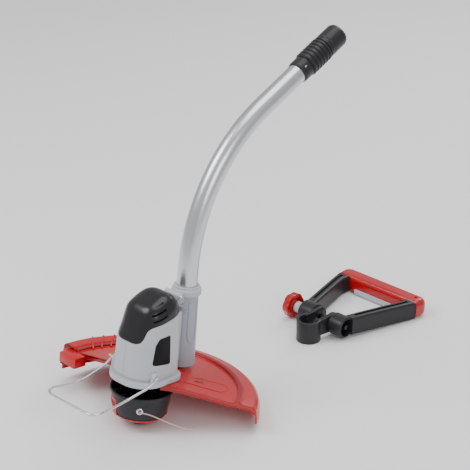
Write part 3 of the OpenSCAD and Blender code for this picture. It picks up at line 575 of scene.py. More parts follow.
def makeBadge(side):
    outline = rounded([(y, z + housing["foot"]) for y, z in badge["outline"]], [2.5, 5, 5, 3, 3], 5)
    rows, count = [], 34
    low, high = min(p[1] for p in outline) + 0.05, max(p[1] for p in outline) - 0.05
    for i in range(count + 1):
        z = low + (high - low) * i / count
        cross = []
        for (ya, za), (yb, zb) in zip(outline, outline[1:] + outline[:1]):
            if (za - z) * (zb - z) <= 0 and za != zb:
                cross.append(ya + (yb - ya) * (z - za) / (zb - za))
        ya, yb = min(cross), max(cross)
        row = []
        for k in range(23):
            y = ya + (yb - ya) * k / 22
            hit = hull.ray_cast(Vector((side * 80, y, z)), Vector((-side, 0, 0)))[0]
            row.append((hit.x + side * badge["proud"], y, z))
        rows.append(row)
    makePiece("badgeRight" if side > 0 else "badgeLeft", loft(rows, closed=False), "badge",
              ("badge_right",) if side > 0 else ("badge_left",), wall=badge["thick"], edge=0.3, sharp=35)


makeHousing()
makeBadge(1)
makeBadge(-1)
print("housing made")


# base ring with its groove and the two ears
baseRing = {"low": 66.0, "top": 76.8, "lip": 4.5, "lipTop": 73.6, "floor": 70.0, "earX": (34.0, 40.6),
            "earY": -14.0,
            "earZ": 82.0, "earR": 5.2, "wireR": 1.75}


def makeBaseRing():
    b = baseRing
    profile = rounded([(4.5, 66), (b["lip"] - 8, 66), (b["lip"], b["low"]), (b["lip"], b["lipTop"]),
                       (-1.0, b["lipTop"]),
                       (-1.5, b["top"]), (-4.4, b["top"]), (-4.6, b["floor"]), (4.5, 70)],
                      [0, 0, 1.3, 1.0, 0.6, 0.4, 0.4, 1.0, 0], 4)
    rings = []
    for k in range(len(profile)):
        grow, z = profile[k]
        inner = (k == 0 or k == len(profile) - 1)
        plan = resampled(planPoints(0 if inner else grow, z) + [planPoints(0 if inner else grow, z)[0]],
                         161)[:-1]
        rings.append([(4.5 * math.sin(2 * math.pi * i / 160), -4.5 * math.cos(2 * math.pi * i / 160),
                       z) for i in range(160)]
                     if inner else plan)
    ring = loft(rings, loop=True)
    tubeRoom = shifted(lathe([(0, 40), (18.8, 40), (18.8, 120), (0, 120)], 64), 0, 72, 0)
    makePiece("baseFlange", ring, "shell", ("base_ring",), sharp=35, holes=[tubeRoom])
    makePiece("bearingSeat", lathe(rounded([(9.5, 70), (12, 70), (12, 76), (9.5, 76)], 0.4), 64), "shell")
    for s in (-1, 1):
        outline = [(b["earY"] + b["earR"] * math.cos(t), b["earZ"] + b["earR"] * math.sin(t))
                   for t in [math.radians(-5 + 190 * i / 20) for i in range(21)]]
        outline += [(b["earY"] - 6, 71), (b["earY"] + 6, 71)]
        ear = prism([(z, y) for y, z in outline], 0, b["earX"][1] - b["earX"][0])
        ear = onSide(ear)
        x = b["earX"][0] if s > 0 else -b["earX"][1]
        hole = shifted(alongX(lathe([(0, -5), (b["wireR"], -5), (b["wireR"], 15), (0, 15)], 24)), x,
                       b["earY"], b["earZ"])
        makePiece("earRight" if s > 0 else "earLeft", shifted(ear, x, 0, 0), "shell",
                  edge=0.9, steps=3,
                  holes=[hole], sharp=40)
        boss = rounded([(2.4, 0), (3.9, 0), (3.9, 1.1), (2.4, 1.1)], 0.4)
        at = b["earX"][1] if s > 0 else -b["earX"][1] - 1.1
        makePiece("bossRight" if s > 0 else "bossLeft",
                  shifted(alongX(lathe(boss, 32)), at, b["earY"], b["earZ"]), "shell")


makeBaseRing()
print("base ring made")


# tube sleeve, clamp collar, lug and screw
sleeve = {"y": 72.0, "foot": 66.0, "top": 168.0, "rFoot": 18.6, "rTop": 16.6, "bore": 14.05,
          "boreFoot": 92.0,
          "collarR": 20.0, "lugY": 48.0}


def sleeveR(z):
    s = sleeve
    return s["rFoot"] + (s["rTop"] - s["rFoot"]) * (z - s["foot"]) / (s["top"] - s["foot"])


def makeSleeve():
    s = sleeve
    body = rounded([(6, s["foot"]), (s["rFoot"], s["foot"]), (s["rTop"], s["top"]), (s["bore"], s["top"]),
                    (s["bore"], s["boreFoot"]), (6, s["boreFoot"])], [0, 1.5, 0.8, 0.4, 0, 0], 4)
    tall = []
    for (ra, za), (rb, zb) in zip(body, body[1:] + body[:1]):
        tall += [(ra + (rb - ra) * t / 4, za + (zb - za) * t / 4) for t in range(4)]
    shape = shifted(lathe(tall, 96), 0, s["y"], 0)
    lug = prism(rounded([(-11, 42), (11, 42), (11, 60), (-11, 60)], 2.0), 160, 167.6)
    # sleeve, lug, wedge, loops and ribs take the darker grey that is painted shade
    makePiece("tubeSleeve", shape, "socket", ("tube_socket",), sharp=35)
    makePiece("sleeveLug", lug, "socket", edge=0.8, sharp=40)
    wedge = loft([[(-9, 60, 152.5), (9, 60, 152.5), (9, 60, 157), (-9, 60, 157)],
                  [(-10.8, 44, 159.5), (10.8, 44, 159.5), (10.8, 44, 161), (-10.8, 44, 161)]])
    makePiece("sleeveWedge", wedge, "socket", edge=0.6)
    for side, name in ((1, "sleeveLoopRight"), (-1, "sleeveLoopLeft")):
        path = rounded([(62, 160), (62, 118), (64, 110), (70, 104.5), (79, 102), (88, 102), (97, 104.5),
                        (103, 110),
                        (105, 118), (105, 160)], 3, 3, closed=False)
        pts = [((sleeveR(z) + 0.1) * math.sin(math.radians(a)) * side,
                s["y"] - (sleeveR(z) + 0.1) * math.cos(math.radians(a)), z)
               for a, z in evenly(path, 1.6)]
        makePiece(name, sweep(pts, circle(1.0, 10), first=(0, 0, 1)), "socket", sharp=60)
    for k, z in enumerate((150, 145)):
        bar = [((sleeveR(z) + 0.1) * math.sin(math.radians(a)),
                s["y"] - (sleeveR(z) + 0.1) * math.cos(math.radians(a)), z)
               for a in range(30, 55, 3)]
        makePiece(f"sleeveRib{k}", sweep(bar, circle(0.7, 8)), "socket", sharp=60)


def makeCollar():
    s = sleeve
    z = s["top"] + 0.15
    ring = rounded([(s["bore"], z), (s["collarR"], z), (s["collarR"], z + 7.6), (s["collarR"] - 2.2, z + 9),
                    (s["collarR"] - 2.4, z + 12.2),
                    (s["bore"], z + 12.2)], [0.3, 1.0, 1.3, 0.8, 1.0, 0.3], 4)
    makePiece("clampCollar", shifted(lathe(ring, 96), 0, s["y"], 0), "shell",
              ("socket_collar",), sharp=35)
    top = prism(rounded([(-11, 42), (11, 42), (11, 58), (-11, 58)], 2.0), z, z + 6.8)
    makePiece("collarLug", top, "shell", edge=0.8, sharp=40)
    barrel = shifted(alongX(lathe(rounded([(1.8, -14), (4.4, -14), (4.4, 14), (1.8, 14)], 0.7), 48)), 0,
                     s["lugY"], s["top"] + 4)
    makePiece("collarBarrel", barrel, "shell", sharp=35)
    back = prism(rounded([(-5, 88.5), (5, 88.5), (5, 93.5), (-5, 93.5)], 2.0), z + 0.4, z + 7.2)
    makePiece("collarHeel", back, "shell", edge=0.8, sharp=40)


def crossScrew(name, at, axis, headR, headH, body, stands=(), shank=0.0, shankR=1.5):
    head = rounded([(0, 0), (headR, 0), (headR, headH * 0.45), (headR * 0.62, headH), (0, headH)],
                   [0, 0.2, headH * 0.4, 0.8, 0], 4)
    parts = lathe(head, 32)
    turn = Vector((0, 0, 1)).rotation_difference(Vector(axis)).to_matrix().to_4x4()
    cuts = [block((-headR * 0.62, -0.45, headH * 0.45), (headR * 0.62, 0.45, headH + 1)),
            block((-0.45, -headR * 0.62, headH * 0.45), (0.45, headR * 0.62, headH + 1))]
    place = Matrix.Translation(at) @ turn
    if shank:
        stem = lathe(rounded([(0, -shank), (shankR, -shank), (shankR, 0), (0, 0)], [0, 0.4, 0, 0]), 24)
        makePiece(name + "Shank", moved(stem, place), "steel", body=body, sharp=40)
    return makePiece(name, moved(parts, place), "steel", stands, body,
                     holes=[moved(c, place) for c in cuts], sharp=40)


makeSleeve()
makeCollar()
crossScrew("collarScrew", (14.1, sleeve["lugY"], sleeve["top"] + 4), (1, 0, 0), 3.2, 2.3, "trimmer",
           stands=("collar_screw",),
           shank=30, shankR=1.7)
print("sleeve and collar made")


# bent tube
shaft = {"d": 28.0, "wall": 1.5, "y": 72.0, "foot": 92.0, "bendZ": 200.0, "bendR": 242.0, "bend": 59.5,
         "straight": 74.0,
         "insert": 30.0, "sides": 96}


def shaftPath(foot, extra, step=3.0):
    t = shaft
    path = [(0, t["y"], foot + (t["bendZ"] - foot) * i / 30) for i in range(31)]
    turn = math.radians(t["bend"])
    for i in range(1, 81):
        a = turn * i / 80
        path.append((0, t["y"] + t["bendR"] * (1 - math.cos(a)), t["bendZ"] + t["bendR"] * math.sin(a)))
    _, y, z = path[-1]
    length = t["straight"] + extra
    for i in range(1, 31):
        path.append((0, y + math.sin(turn) * length * i / 30, z + math.cos(turn) * length * i / 30))
    return path


def couplerPlace():
    t = shaft
    turn = math.radians(t["bend"])
    y = t["y"] + t["bendR"] * (1 - math.cos(turn)) + math.sin(turn) * t["straight"]
    z = t["bendZ"] + t["bendR"] * math.sin(turn) + math.cos(turn) * t["straight"]
    return leaned @ Matrix.Translation((0, y * mm, z * mm)) @ Matrix.Rotation(-turn, 4, "X")


def makeTube():
    t = shaft
    path = shaftPath(t["foot"], t["insert"])
    outer = sweep(path, circle(t["d"] / 2, t["sides"]), first=(1, 0, 0))
    n = t["sides"]
    inner = sweep(path, circle(t["d"] / 2 - t["wall"], n), first=(1, 0, 0))
    verts, faces = joined((outer[0], outer[1][:-2]), (inner[0], [f[::-1] for f in inner[1][:-2]]))
    start = len(outer[0])
    last = start - n
    for k in range(n):
        j = (k + 1) % n
        faces.append([k, j, start + j, start + k][::-1])
        faces.append([last + k, last + j, last + start + j, last + start + k])
    obj = makePiece("bentTube", (verts, faces), "tube", ("tube",), sharp=40)
    streakUv(obj, n, 0.088, 0.0035)


makeTube()
print("tube made")


# coupler: collar, ribbed nut and sleeve, drawn along their own axis
coupler = {"collarL": 18.0, "nutL": 39.0, "sleeveL": 34.0, "bore": 14.05, "ribs": 6}


def makeCoupler():
    c = coupler
    place = couplerPlace()
    r = c["bore"]
    collar = rounded([(r, 0), (15.3, 0), (15.9, 3), (15.9, 16.4), (15.3, 17.8), (r, 17.8)],
                     [0.2, 0.8, 1.2, 0.5, 0.3, 0.2], 4)
    makePiece("couplerCollar", lathe(collar, 80), "charcoal", ("coupler_collar",),
              place=place, sharp=35)
    arrow = prism([(-1.2, -2.2), (1.2, -2.2), (0, 2.0)], 0, 0.25)
    mark = moved(arrow, Matrix.Rotation(math.radians(52), 4,
                                        "Z") @ Matrix.Translation((0, -15.82,
                                                                   9)) @ Matrix.Rotation(math.radians(90),
                                                                           4, "X"))
    makePiece("alignMark", mark, "shell", place=place)
    pitch = c["nutL"] / c["ribs"]
    outline = [(r, c["collarL"] + 0.1), (16.1, c["collarL"] + 0.1)]
    radii = [0.2, 0.6]
    for i in range(c["ribs"]):
        z = c["collarL"] + pitch * i
        outline += [(16.1, z + 1.0), (17.7, z + 1.5), (17.7, z + pitch * 0.62),
                    (16.1, z + pitch * 0.62 + 0.6)]
        radii += [0.3, 0.7, 0.7, 0.3]
    end = c["collarL"] + c["nutL"] - 0.4
    outline += [(16.1, end), (r, end)]
    radii += [0.5, 0.2]
    makePiece("couplerNut", lathe(rounded(outline, radii, 3), 96), "charcoal",
              ("coupler_nut",), "lock_nut",
              place=place, sharp=35)
    z = c["collarL"] + c["nutL"]
    top = z + c["sleeveL"]
    outline = [(4, z), (16.9, z), (16.9, z + 4.5), (16.3, z + 5.4), (16.3, z + 7), (16.9, z + 8),
               (16.9, top - 4), (15.2, top - 0.2),
               (14.4, top - 0.2), (14.4, z + 5), (4, z + 5)]
    makePiece("couplerSleeve", lathe(rounded(outline, [0, 0.6, 0.4, 0.3, 0.3, 0.5, 1.5, 0.3, 0.2, 0.5, 0],
                                             3), 96), "charcoal",
              ("coupler_sleeve",), place=place, sharp=35)
    ring = lathe(rounded([(3.4, 0), (9.9, 0), (9.9, 7), (3.4, 7)], 0.5, 3), 48)
    holes = [shifted(lathe([(0, -1), (1.25, -1), (1.25, 9), (0, 9)], 20), s * 6.5, 0, z + 5.2) for s in (-1,
            1)]
    makePiece("connectorBlock", shifted(ring, 0, 0, z + 5.2), "black",
              ("connector_block",), place=place,
              holes=holes, sharp=35)
    for k, s in enumerate((-1, 1)):
        pin = lathe(rounded([(0, 0), (1.15, 0), (1.15, 9), (0, 9)], [0, 0, 0.9, 0], 4), 20)
        makePiece(f"contactPin{k}", shifted(pin, s * 6.5, 0, z + 5.8), "copper",
                  ("contact_pins",), place=place)


makeCoupler()
print("coupler made")


# cutting head: drum, fins, cap with its latch tabs, eyelet and knob
head = {"rimR": 42.5, "rimZ": 50.0, "foot": 10.0, "wall": 2.4, "capR": 36.7, "tabAt": -34.0,
        "tabHalf": 24.0,
        "eyeletAt": 45.0, "eyeletZ": 31.5, "eyeletR": 38.3, "fins": 12}


def drumWallR(z):
    return float(np.interp(z, [14.8, 16.5, 21, 35, 45.4, 46.6, 50],
                           [33.7, 35.5, 37.0, 39.3, 40.5, 42.5, 42.5]))


def inTab(degrees, extra):
    h = head
    return any(abs((degrees - h["tabAt"] - turn + 180) % 360 - 180) < h["tabHalf"] + extra for turn in (0,
            180))


def makeDrum():
    h = head
    steps = 288
    outer = [15.0, 15.6, 16.5, 18.5, 21, 25, 29, 33, 37, 40.9, 41.4, 42.0, 44, 45.4, 45.9, 46.4, 47.0, 48.5,
             49.5]
    rings = []
    for i in range(steps):
        angle = 360 * i / steps - 180
        a = math.radians(angle)
        ring = []
        for z in outer:
            r = drumWallR(z)
            if inTab(angle, 1.2) and z <= 40.9:
                r = min(r, h["rimR"] - 7.2)
            if z == 49.5:
                r = h["rimR"] - 0.5
            ring.append((r * math.sin(a), -r * math.cos(a), 50.0 if z == 49.5 else z))
        for r, z in ((40.6, 50.0), (40.2, 49.6), (38.0, 43.6), (37.6, 43.4), (3.2, 43.4), (3.0, 41.0),
                     (33.4, 41.0), (33.7, 40.6)):
            ring.append((r * math.sin(a), -r * math.cos(a), z))
        rings.append(ring)
    eyeSeat = moved(lathe([(0, 0), (3.0, 0), (3.0, 4), (4.75, 4), (4.75, 14), (0, 14)], 32),
                    Matrix.Rotation(math.radians(h["eyeletAt"]), 4,
                                    "Z") @ Matrix.Translation((0, -33.6, h["eyeletZ"]))
                    @ Matrix.Rotation(math.radians(90), 4, "X"))
    makePiece("drumShell", loft(rings, loop=True), "charcoal", ("drum",), "head", sharp=32,
              holes=[eyeSeat])
    hub = lathe(rounded([(3.05, 43.5), (8.5, 43.5), (8.5, 56), (7.6, 56.5), (3.05, 56.5)], 0.6, 3), 48)
    makePiece("finHub", hub, "black", ("head_fins",), "head", sharp=40)
    disc = lathe(rounded([(8.0, 43.45), (37.0, 43.45), (37.0, 44.9), (8.0, 44.9)], 0.3, 3), 96)
    makePiece("finDisc", disc, "black", (), "head", sharp=40)
    for k in range(h["fins"]):
        fin = []
        for t in range(9):
            r = 8.3 + 28.6 * t / 8
            bend = 10 * (t / 8) ** 1.5
            thick = 0.9 - 0.25 * t / 8
            top = 52.0 - 1.2 * (t / 8) ** 2
            a = math.radians(bend)
            x, y = r * math.sin(a), -r * math.cos(a)
            fin.append([(x - thick, y, 44.6), (x + thick, y, 44.6), (x + thick * 0.7, y, top),
                        (x - thick * 0.7, y, top)])
        makePiece(f"fin{k:02d}", turned(loft(fin), k * 30), "black", (), "head", edge=0.25,
                  sharp=40)


def makeCap():
    h = head
    f, r = h["foot"], h["capR"]
    outline = rounded([(14.5, f), (r - 9, f), (r - 4, f + 1.6), (r - 0.6, f + 6), (r - 1.5, f + 6),
                       (r - 4.8, f + 2.85),
                       (r - 9, f + 2.4), (14.5, f + 2.4)], [0.5, 5, 3, 0.35, 0.35, 2, 3, 0.5], 5)
    makePiece("drumCap", lathe(outline, 144), "trim", ("drum_cap",), "head", sharp=35)
    for k, at in enumerate((h["tabAt"], h["tabAt"] + 180)):
        tab = [(r - 2.4, f + 4.4), (r + 0.3, f + 5.2), (r + 1.2, f + 12), (h["rimR"] - 2.6, h["rimZ"] - 10),
               (h["rimR"] - 4.8, h["rimZ"] - 10), (r - 1.2, f + 10), (r - 1.2, f + 5.6)]
        shape = lathe(rounded(tab, [0, 0.9, 2, 0.8, 0.6, 1, 0], 4), 40, at - h["tabHalf"],
                      at + h["tabHalf"])
        makePiece(f"latchTab{k}", shape, "trim", (), "head", edge=0.5, sharp=40)
        for i in range(-4, 5):
            rib = []
            for t in range(9):
                z = f + 14 + 12.5 * t / 8
                surface = r + 1.2 + (h["rimR"] - 3.8 - r) * (z - f - 12) / 18
                swell = 0.75 * math.sin(math.pi * min(1, max(0, (t + 0.4) / 8.8)))
                rib.append([(-0.75, -surface + 0.3, z), (0.75, -surface + 0.3, z),
                            (0.4, -surface - swell, z), (-0.4, -surface - swell, z)])
            makePiece(f"tabRib{k}{i + 4}", turned(loft(rib), at + i * 4.6), "trim", (), "head",
                      edge=0.2, sharp=50)


def makeEyelet():
    h = head
    outline = rounded([(1.8, -4), (2.9, -4), (2.9, -0.6), (4.6, -0.6), (4.6, 0.7), (3.0, 1.6), (1.9, 0.8)],
                      [0.2, 0.2, 0.2, 0.3, 0.6, 0.9, 0.5], 5)
    place = (Matrix.Rotation(math.radians(h["eyeletAt"]), 4,
                             "Z") @ Matrix.Translation((0, -h["eyeletR"], h["eyeletZ"]))
             @ Matrix.Rotation(math.radians(90), 4, "X"))
    makePiece("lineEyelet", moved(lathe(outline, 48), place), "steel", ("line_eyelet",), "head",
              sharp=40)


def makeKnob():
    outline = [(0, 0.35), (8.6, 0.35), (9.0, 0), (12.5, 0), (13.7, 1.4), (14.1, 4), (14.1, 12.6),
               (8.0, 12.8), (8.0, 25.5), (0, 25.5)]
    makePiece("bumpKnob", lathe(rounded(outline, [0, 0.3, 0.3, 0.9, 1, 1, 0.3, 0.3, 0.6, 0], 4), 72),
              "black",
              ("bump_knob",), "spool_set", sharp=35)


makeDrum()
makeCap()
makeEyelet()
makeKnob()
print("cutting head made")


# guard: deck, raised ridge, skirt and rims, as one lofted shell
guard = {"r": 160.0, "ridge": 132.0, "rim": 51.0, "skirt": 15.7, "t": 2.6, "hubZ": 65.85, "hole": 17.0,
         "openA": 60.0,
         "leftA": 90.0, "rimArc": 34.0, "openFrom": (34.0, -5.0)}


def deckLine(lift):
    g = guard
    slope = (g["hubZ"] - 2 - g["rim"]) / (g["ridge"] - 60)
    pts = [(g["hole"], g["hubZ"]), (46, g["hubZ"]), (62, g["hubZ"] - 2),
           (g["ridge"] - 4, g["rim"] + 4 * slope),
           (g["ridge"] - 3, g["rim"] + 3.4), (g["ridge"] + 3, g["rim"] + 2.8), (g["ridge"] + 5,
                   g["rim"] + 5.2 * lift),
           (g["r"] - 8, g["rim"] - 2.4 + 8.2 * lift), (g["r"] - 3,
                                                       g["rim"] - 7 + 9.5 * lift), (g["r"] - 0.8,
                                                               g["rim"] - 14 + 5 * lift),
           (g["r"], 24)]
    return rounded(pts, [0, 6, 6, 0.8, 1.1, 1.1, 1.2, 4, 3.5, 3, 0], 4, closed=False)


def underLine():
    g = guard
    pts = [(g["r"] - g["t"], 24), (g["r"] - g["t"] - 0.8, g["rim"] - 14), (g["r"] - 5.6, g["rim"] - 8.6),
           (g["r"] - 9.6, g["rim"] - 5),
           (g["ridge"] - 3, g["rim"] - g["t"]), (62, g["hubZ"] - 2 - g["t"]), (46,
                   g["hubZ"] - g["t"]), (g["hole"], g["hubZ"] - g["t"])]
    return rounded(pts, [0, 2, 2, 3, 4, 6, 6, 0], 4, closed=False)


# height of the skirt's lower edge at a point: level, then rising to the cutter side, and never under the floor
def skirtEdge(x, y):
    low = guard["skirt"]
    floor = (floorZ + 0.1) / math.cos(leanAngle) + y * math.tan(leanAngle)
    return max(low, floor, low + (x - 86) * math.tan(math.radians(11)) if x > 86 else low)


# the turn, from the back, at which the open side's straight edge meets a radius
def openTurn(r):
    g = guard
    ax, ay = g["openFrom"]
    bx, by = g["r"] * math.sin(math.radians(g["openA"])), g["r"] * math.cos(math.radians(g["openA"]))
    dx, dy = bx - ax, by - ay
    a, b, c = dx * dx + dy * dy, 2 * (ax * dx + ay * dy), ax * ax + ay * ay - r * r
    if r < math.hypot(ax, ay):
        return math.degrees(math.atan2(ax, ay))
    t = (-b + math.sqrt(max(0.0, b * b - 4 * a * c))) / (2 * a)
    return math.degrees(math.atan2(ax + dx * t, ay + dy * t))


# turns run from the back, positive to the open side and negative to the cutter side
def guardPoint(r, z, turn):
    a = math.radians(turn)
    return (r * math.sin(a), r * math.cos(a), z)


def makeGuard():
    g = guard
    count = 150
    rings = []
    for i in range(count + 1):
        share = i / count
        nominal = g["openA"] - (g["openA"] + g["leftA"]) * share
        rise = max(0.0, min(1.0, (g["rimArc"] - nominal - g["leftA"]) / 2.5))
        ring = []
        for r, z in deckLine(rise) + underLine():
            first = openTurn(r)
            ring.append(guardPoint(r, z, first - (first + g["leftA"]) * share))
        n = len(deckLine(rise))
        for k in (n - 1, n):
            x, y, z = ring[k]
            ring[k] = (x, y, skirtEdge(x, y))
        rings.append(ring)
    makePiece("guardDeck", loft(rings), "guard", ("guard",), sharp=32)


# a bar that lies along the deck from point to point, thicker than the deck and standing a little proud; unless
# told otherwise it takes the darker red that is painted shade
def deckBar(name, path, wide, above, below, finish="rib"):
    section = rounded([(-below, -wide / 2), (above, -wide / 2), (above, wide / 2), (-below, wide / 2)],
                      min(wide, above + below) * 0.3, 3)
    makePiece(name, sweep(path, section, first=(0, 0, 1)), finish, sharp=45)


def deckZ(r, lift=0.0):
    pts = deckLine(lift)
    return float(np.interp(r, [p[0] for p in pts], [p[1] for p in pts]))


def alongOpenEdge(start, end, inset, count=60):
    g = guard
    a = Vector((*g["openFrom"], 0))
    b = Vector((g["r"] * math.sin(math.radians(g["openA"])), g["r"] * math.cos(math.radians(g["openA"])),
                0))
    side = Vector((-(b - a).y, (b - a).x, 0)).normalized()
    path = []
    for i in range(count + 1):
        p = a.lerp(b, start + (end - start) * i / count) + side * inset
        path.append((p.x, p.y, deckZ(min(p.xy.length, g["r"] - 1.5))))
    return path


def makeGuardTrim():
    g = guard
    deckBar("openRim", alongOpenEdge(0.03, 0.985, 1.6), 3.0, 0.7, 7.0)
    ridge = [guardPoint(g["ridge"], g["rim"] + 0.9,
                        openTurn(g["ridge"]) - 0.6 - (openTurn(g["ridge"]) + g["leftA"] - 1.2) * i / 160)
             for i in range(161)]
    deckBar("ridgeBand", ridge, 7.2, 2.9, 1.0)
    turnMid = g["openA"] - 17
    ring = [(64, turnMid - 7.0), (104, turnMid - 5.0), (113, turnMid - 3.0), (116, turnMid + 2.0),
            (113, turnMid + 6.5), (104, turnMid + 8.5)]
    ring = evenly(rounded(ring, 6, 5, closed=False), 1.2)
    deckBar("pocketLine", [guardPoint(r, deckZ(r) - 0.1, t) for r, t in ring], 1.4, 0.55, 0.6, "guard")
    radial = [guardPoint(r, deckZ(r) - 0.1, turnMid + 10.5 - (r - 56) * 0.02) for r in np.linspace(56, 108,
            40)]
    deckBar("radialLine", radial, 1.8, 0.8, 0.6, "guard")
    # the short ribs take the darker red that is painted shade
    for k, (r0, r1, t) in enumerate(((70, 82, turnMid - 7.3), (70, 82, turnMid + 1.0))):
        deckBar(f"shortRib{k}", [guardPoint(r, deckZ(r) - 0.1, t) for r in np.linspace(r0, r1, 12)], 1.6,
                1.0, 0.6, "rib")
    leftEdge = [guardPoint(r, deckZ(r, 0 if r < g["ridge"] + 4 else 1) - 0.4,
                           -g["leftA"] + math.degrees(1.4 / r)) for r in np.linspace(50, 157.5, 90)]
    deckBar("cutterRim", leftEdge, 2.8, 0.5, 6.5)
    for k in range(5):
        turn = -g["leftA"] + 13 + k * 6.2
        path = []
        for i in range(14):
            r = 122 + 30 * i / 13
            path.append(guardPoint(r, deckZ(r, 1) + 0.2, turn + (r - 136) * 0.20))
        deckBar(f"slantRib{k}", path, 2.6, 1.3, 1.2, "guard")


# closed box under the deck at the cutter side, with the blade below it
cutter = {"r": 139.0, "low": 37.0, "x": (-19.0, 1.0), "y": (112.0, 145.0), "t": 1.4}


def onEdge(shape):
    return turned(shape, 90)


def makeCutter():
    c = cutter
    shell = block((c["x"][0], c["y"][0], c["low"] + 0.1), (c["x"][1], c["y"][1], c["low"] + 15))
    room = block((-17, 114, 30), (-1, 136, 45))
    makePiece("cutterBox", onEdge(shell), "guard", edge=0.9, holes=[onEdge(room)], sharp=40)
    side = rounded([(c["low"] + 14, 113), (c["low"] + 1, 113), (c["low"] - 7, 128), (c["low"] - 7, 146),
                    (c["low"] + 2, 153), (c["low"] + 14, 150)], 4, 4)
    wing = onSide(prism(side, 0, 2.2))
    makePiece("cutterWing", onEdge(shifted(wing, -1.2, 0, 0)), "guard", edge=0.6, sharp=40)
    z = c["low"] - c["t"] - 0.15
    holes = [shifted(lathe([(0, -2), (1.3, -2), (1.3, 4), (0, 4)], 20), x, c["r"], z) for x in (-14, -5)]
    plate = block((-19, c["r"] - 4.5, z), (1, c["r"] + 4.5, z + c["t"]))
    makePiece("cutterPlate", onEdge(plate), "blade", ("line_cutter",), edge=0.25,
              holes=[onEdge(h) for h in holes], sharp=40)
    leg = [(-1.4, -4.5), (1.0, -4.5), (1.0, 4.5), (-1.4, 4.5)]
    down = loft([[(x, c["r"] + y, z + c["t"]) for x, y in leg], [(x, c["r"] + y, z - 9) for x, y in leg],
                 [(x + (1.5 if x < 0 else 5), c["r"] + y * 0.85, z - 12) for x, y in leg],
                 [(x + 6 + (0.6 if x < 0 else 8), c["r"] + y * 0.5 + 1, z - 13.8) for x, y in leg]])
    makePiece("cutterBlade", onEdge(down), "blade", edge=0.25, sharp=40)
    for k, x in enumerate((-14, -5)):
        p = Matrix.Rotation(math.radians(90), 4, "Z") @ Vector((x, c["r"], z - 0.1))
        crossScrew(f"cutterScrew{k}", tuple(p), (0, 0, -1), 2.3, 1.6, "trimmer", stands=("cutter_screws",),
                   shank=6, shankR=1.05)


makeGuard()
makeGuardTrim()
makeCutter()
for index, (x, y) in enumerate(((-22, 20), (22, 20), (0, 32))):
    crossScrew(f"guardScrew{index}", (x, y, 66 - guard["t"] - 0.2), (0, 0, -1), 3.2, 2.0, "trimmer",
               stands=("guard_screws",),
               shank=5, shankR=1.25)
print("guard made")


# wire bail: one bent rod between the two ears
bail = {"r": 1.7, "half": [(34.5, -14, 82), (43.4, -14, 82), (43, -28, 73), (40, -76, 62), (48, -119, 63),
                           (39, -128, 62)]}


def makeBail():
    right = [Vector(p) for p in bail["half"]]
    route = right + [Vector((-p.x, p.y, p.z)) for p in reversed(right)]
    bends = [0, 5, 9, 34, 12, 7]
    path = rounded3(route, bends + bends[::-1])
    piece = makePiece("wireBail", sweep(evenly(path, 1.5), circle(bail["r"], 16), first=(0, 0, 1)), "steel",
                      ("wire_bail",), "bail", sharp=60)
    streakUv(piece, 16, 0.2, 0.0015)


def rounded3(points, radii):
    out = []
    for i, p in enumerate(points):
        if i in (0, len(points) - 1) or radii[i] == 0:
            out.append(p)
            continue
        a, b = points[i - 1] - p, points[i + 1] - p
        reach = min(radii[i], a.length * 0.45, b.length * 0.45)
        first, last = p + a.normalized() * reach, p + b.normalized() * reach
        for k in range(11):
            t = k / 10
            out.append(first * (1 - t) ** 2 + p * (2 * t * (1 - t)) + last * t * t)
    return [tuple(p) for p in out]


makeBail()
print("bail made")


# D-handle, loose beside the head: clamp and hub, arms, grip and knob
handle = {"at": (12.5, 364.0, 17.7275), "tilt": -2.279, "armX": 42.0, "cornerX": 65.0, "cornerY": 132.0,
          "cornerR": 14.0, "armZ": 14.0, "gripFrom": 118.0, "gripTo": 146.0, "hubR": 16.2, "clampY": -37.0,
          "clampR": 18.0, "bore": 14.3}
handleBase = Matrix.Translation(Vector(handle["at"]) * mm)
handleTurned = handleBase @ Matrix.Rotation(math.radians(handle["tilt"]), 4, "X")


def turnOf(a, b, c):
    return (b[0] - a[0]) * (c[1] - a[1]) - (b[1] - a[1]) * (c[0] - a[0])


def hullOf(points):
    pts = sorted(set((round(x, 4), round(y, 4)) for x, y in points))

    def half(row):
        out = []
        for p in row:
            while len(out) > 1 and turnOf(out[-2], out[-1], p) <= 0:
                out.pop()
            out.append(p)
        return out[:-1]
    return half(pts) + half(pts[::-1])


def discAt(x, y, r, sides=96):
    return [(x + px, y + py) for px, py in circle(r, sides)]


def outerLoop(out=0.0):
    h = handle
    pts = [(-h["armX"] - out, 0), (h["armX"] + out, 0)]
    for side in (-1, 1):
        pts += discAt(side * h["cornerX"], h["cornerY"], h["cornerR"] + out)
    return hullOf(pts)


def innerLoop(out=0.0):
    pts = [(-24.9 - out, 0), (24.9 + out, 0)]
    for side in (-1, 1):
        pts += discAt(side * 45, 108, 10 + out)
    return hullOf(pts)


def crossing(loop, y, side):
    best = None
    for (ax, ay), (bx, by) in zip(loop, loop[1:] + loop[:1]):
        if (ay - y) * (by - y) <= 0 and ay != by:
            x = ax + (bx - ax) * (y - ay) / (by - ay)
            if x * side > 0 and (best is None or x * side > best * side):
                best = x
    return best


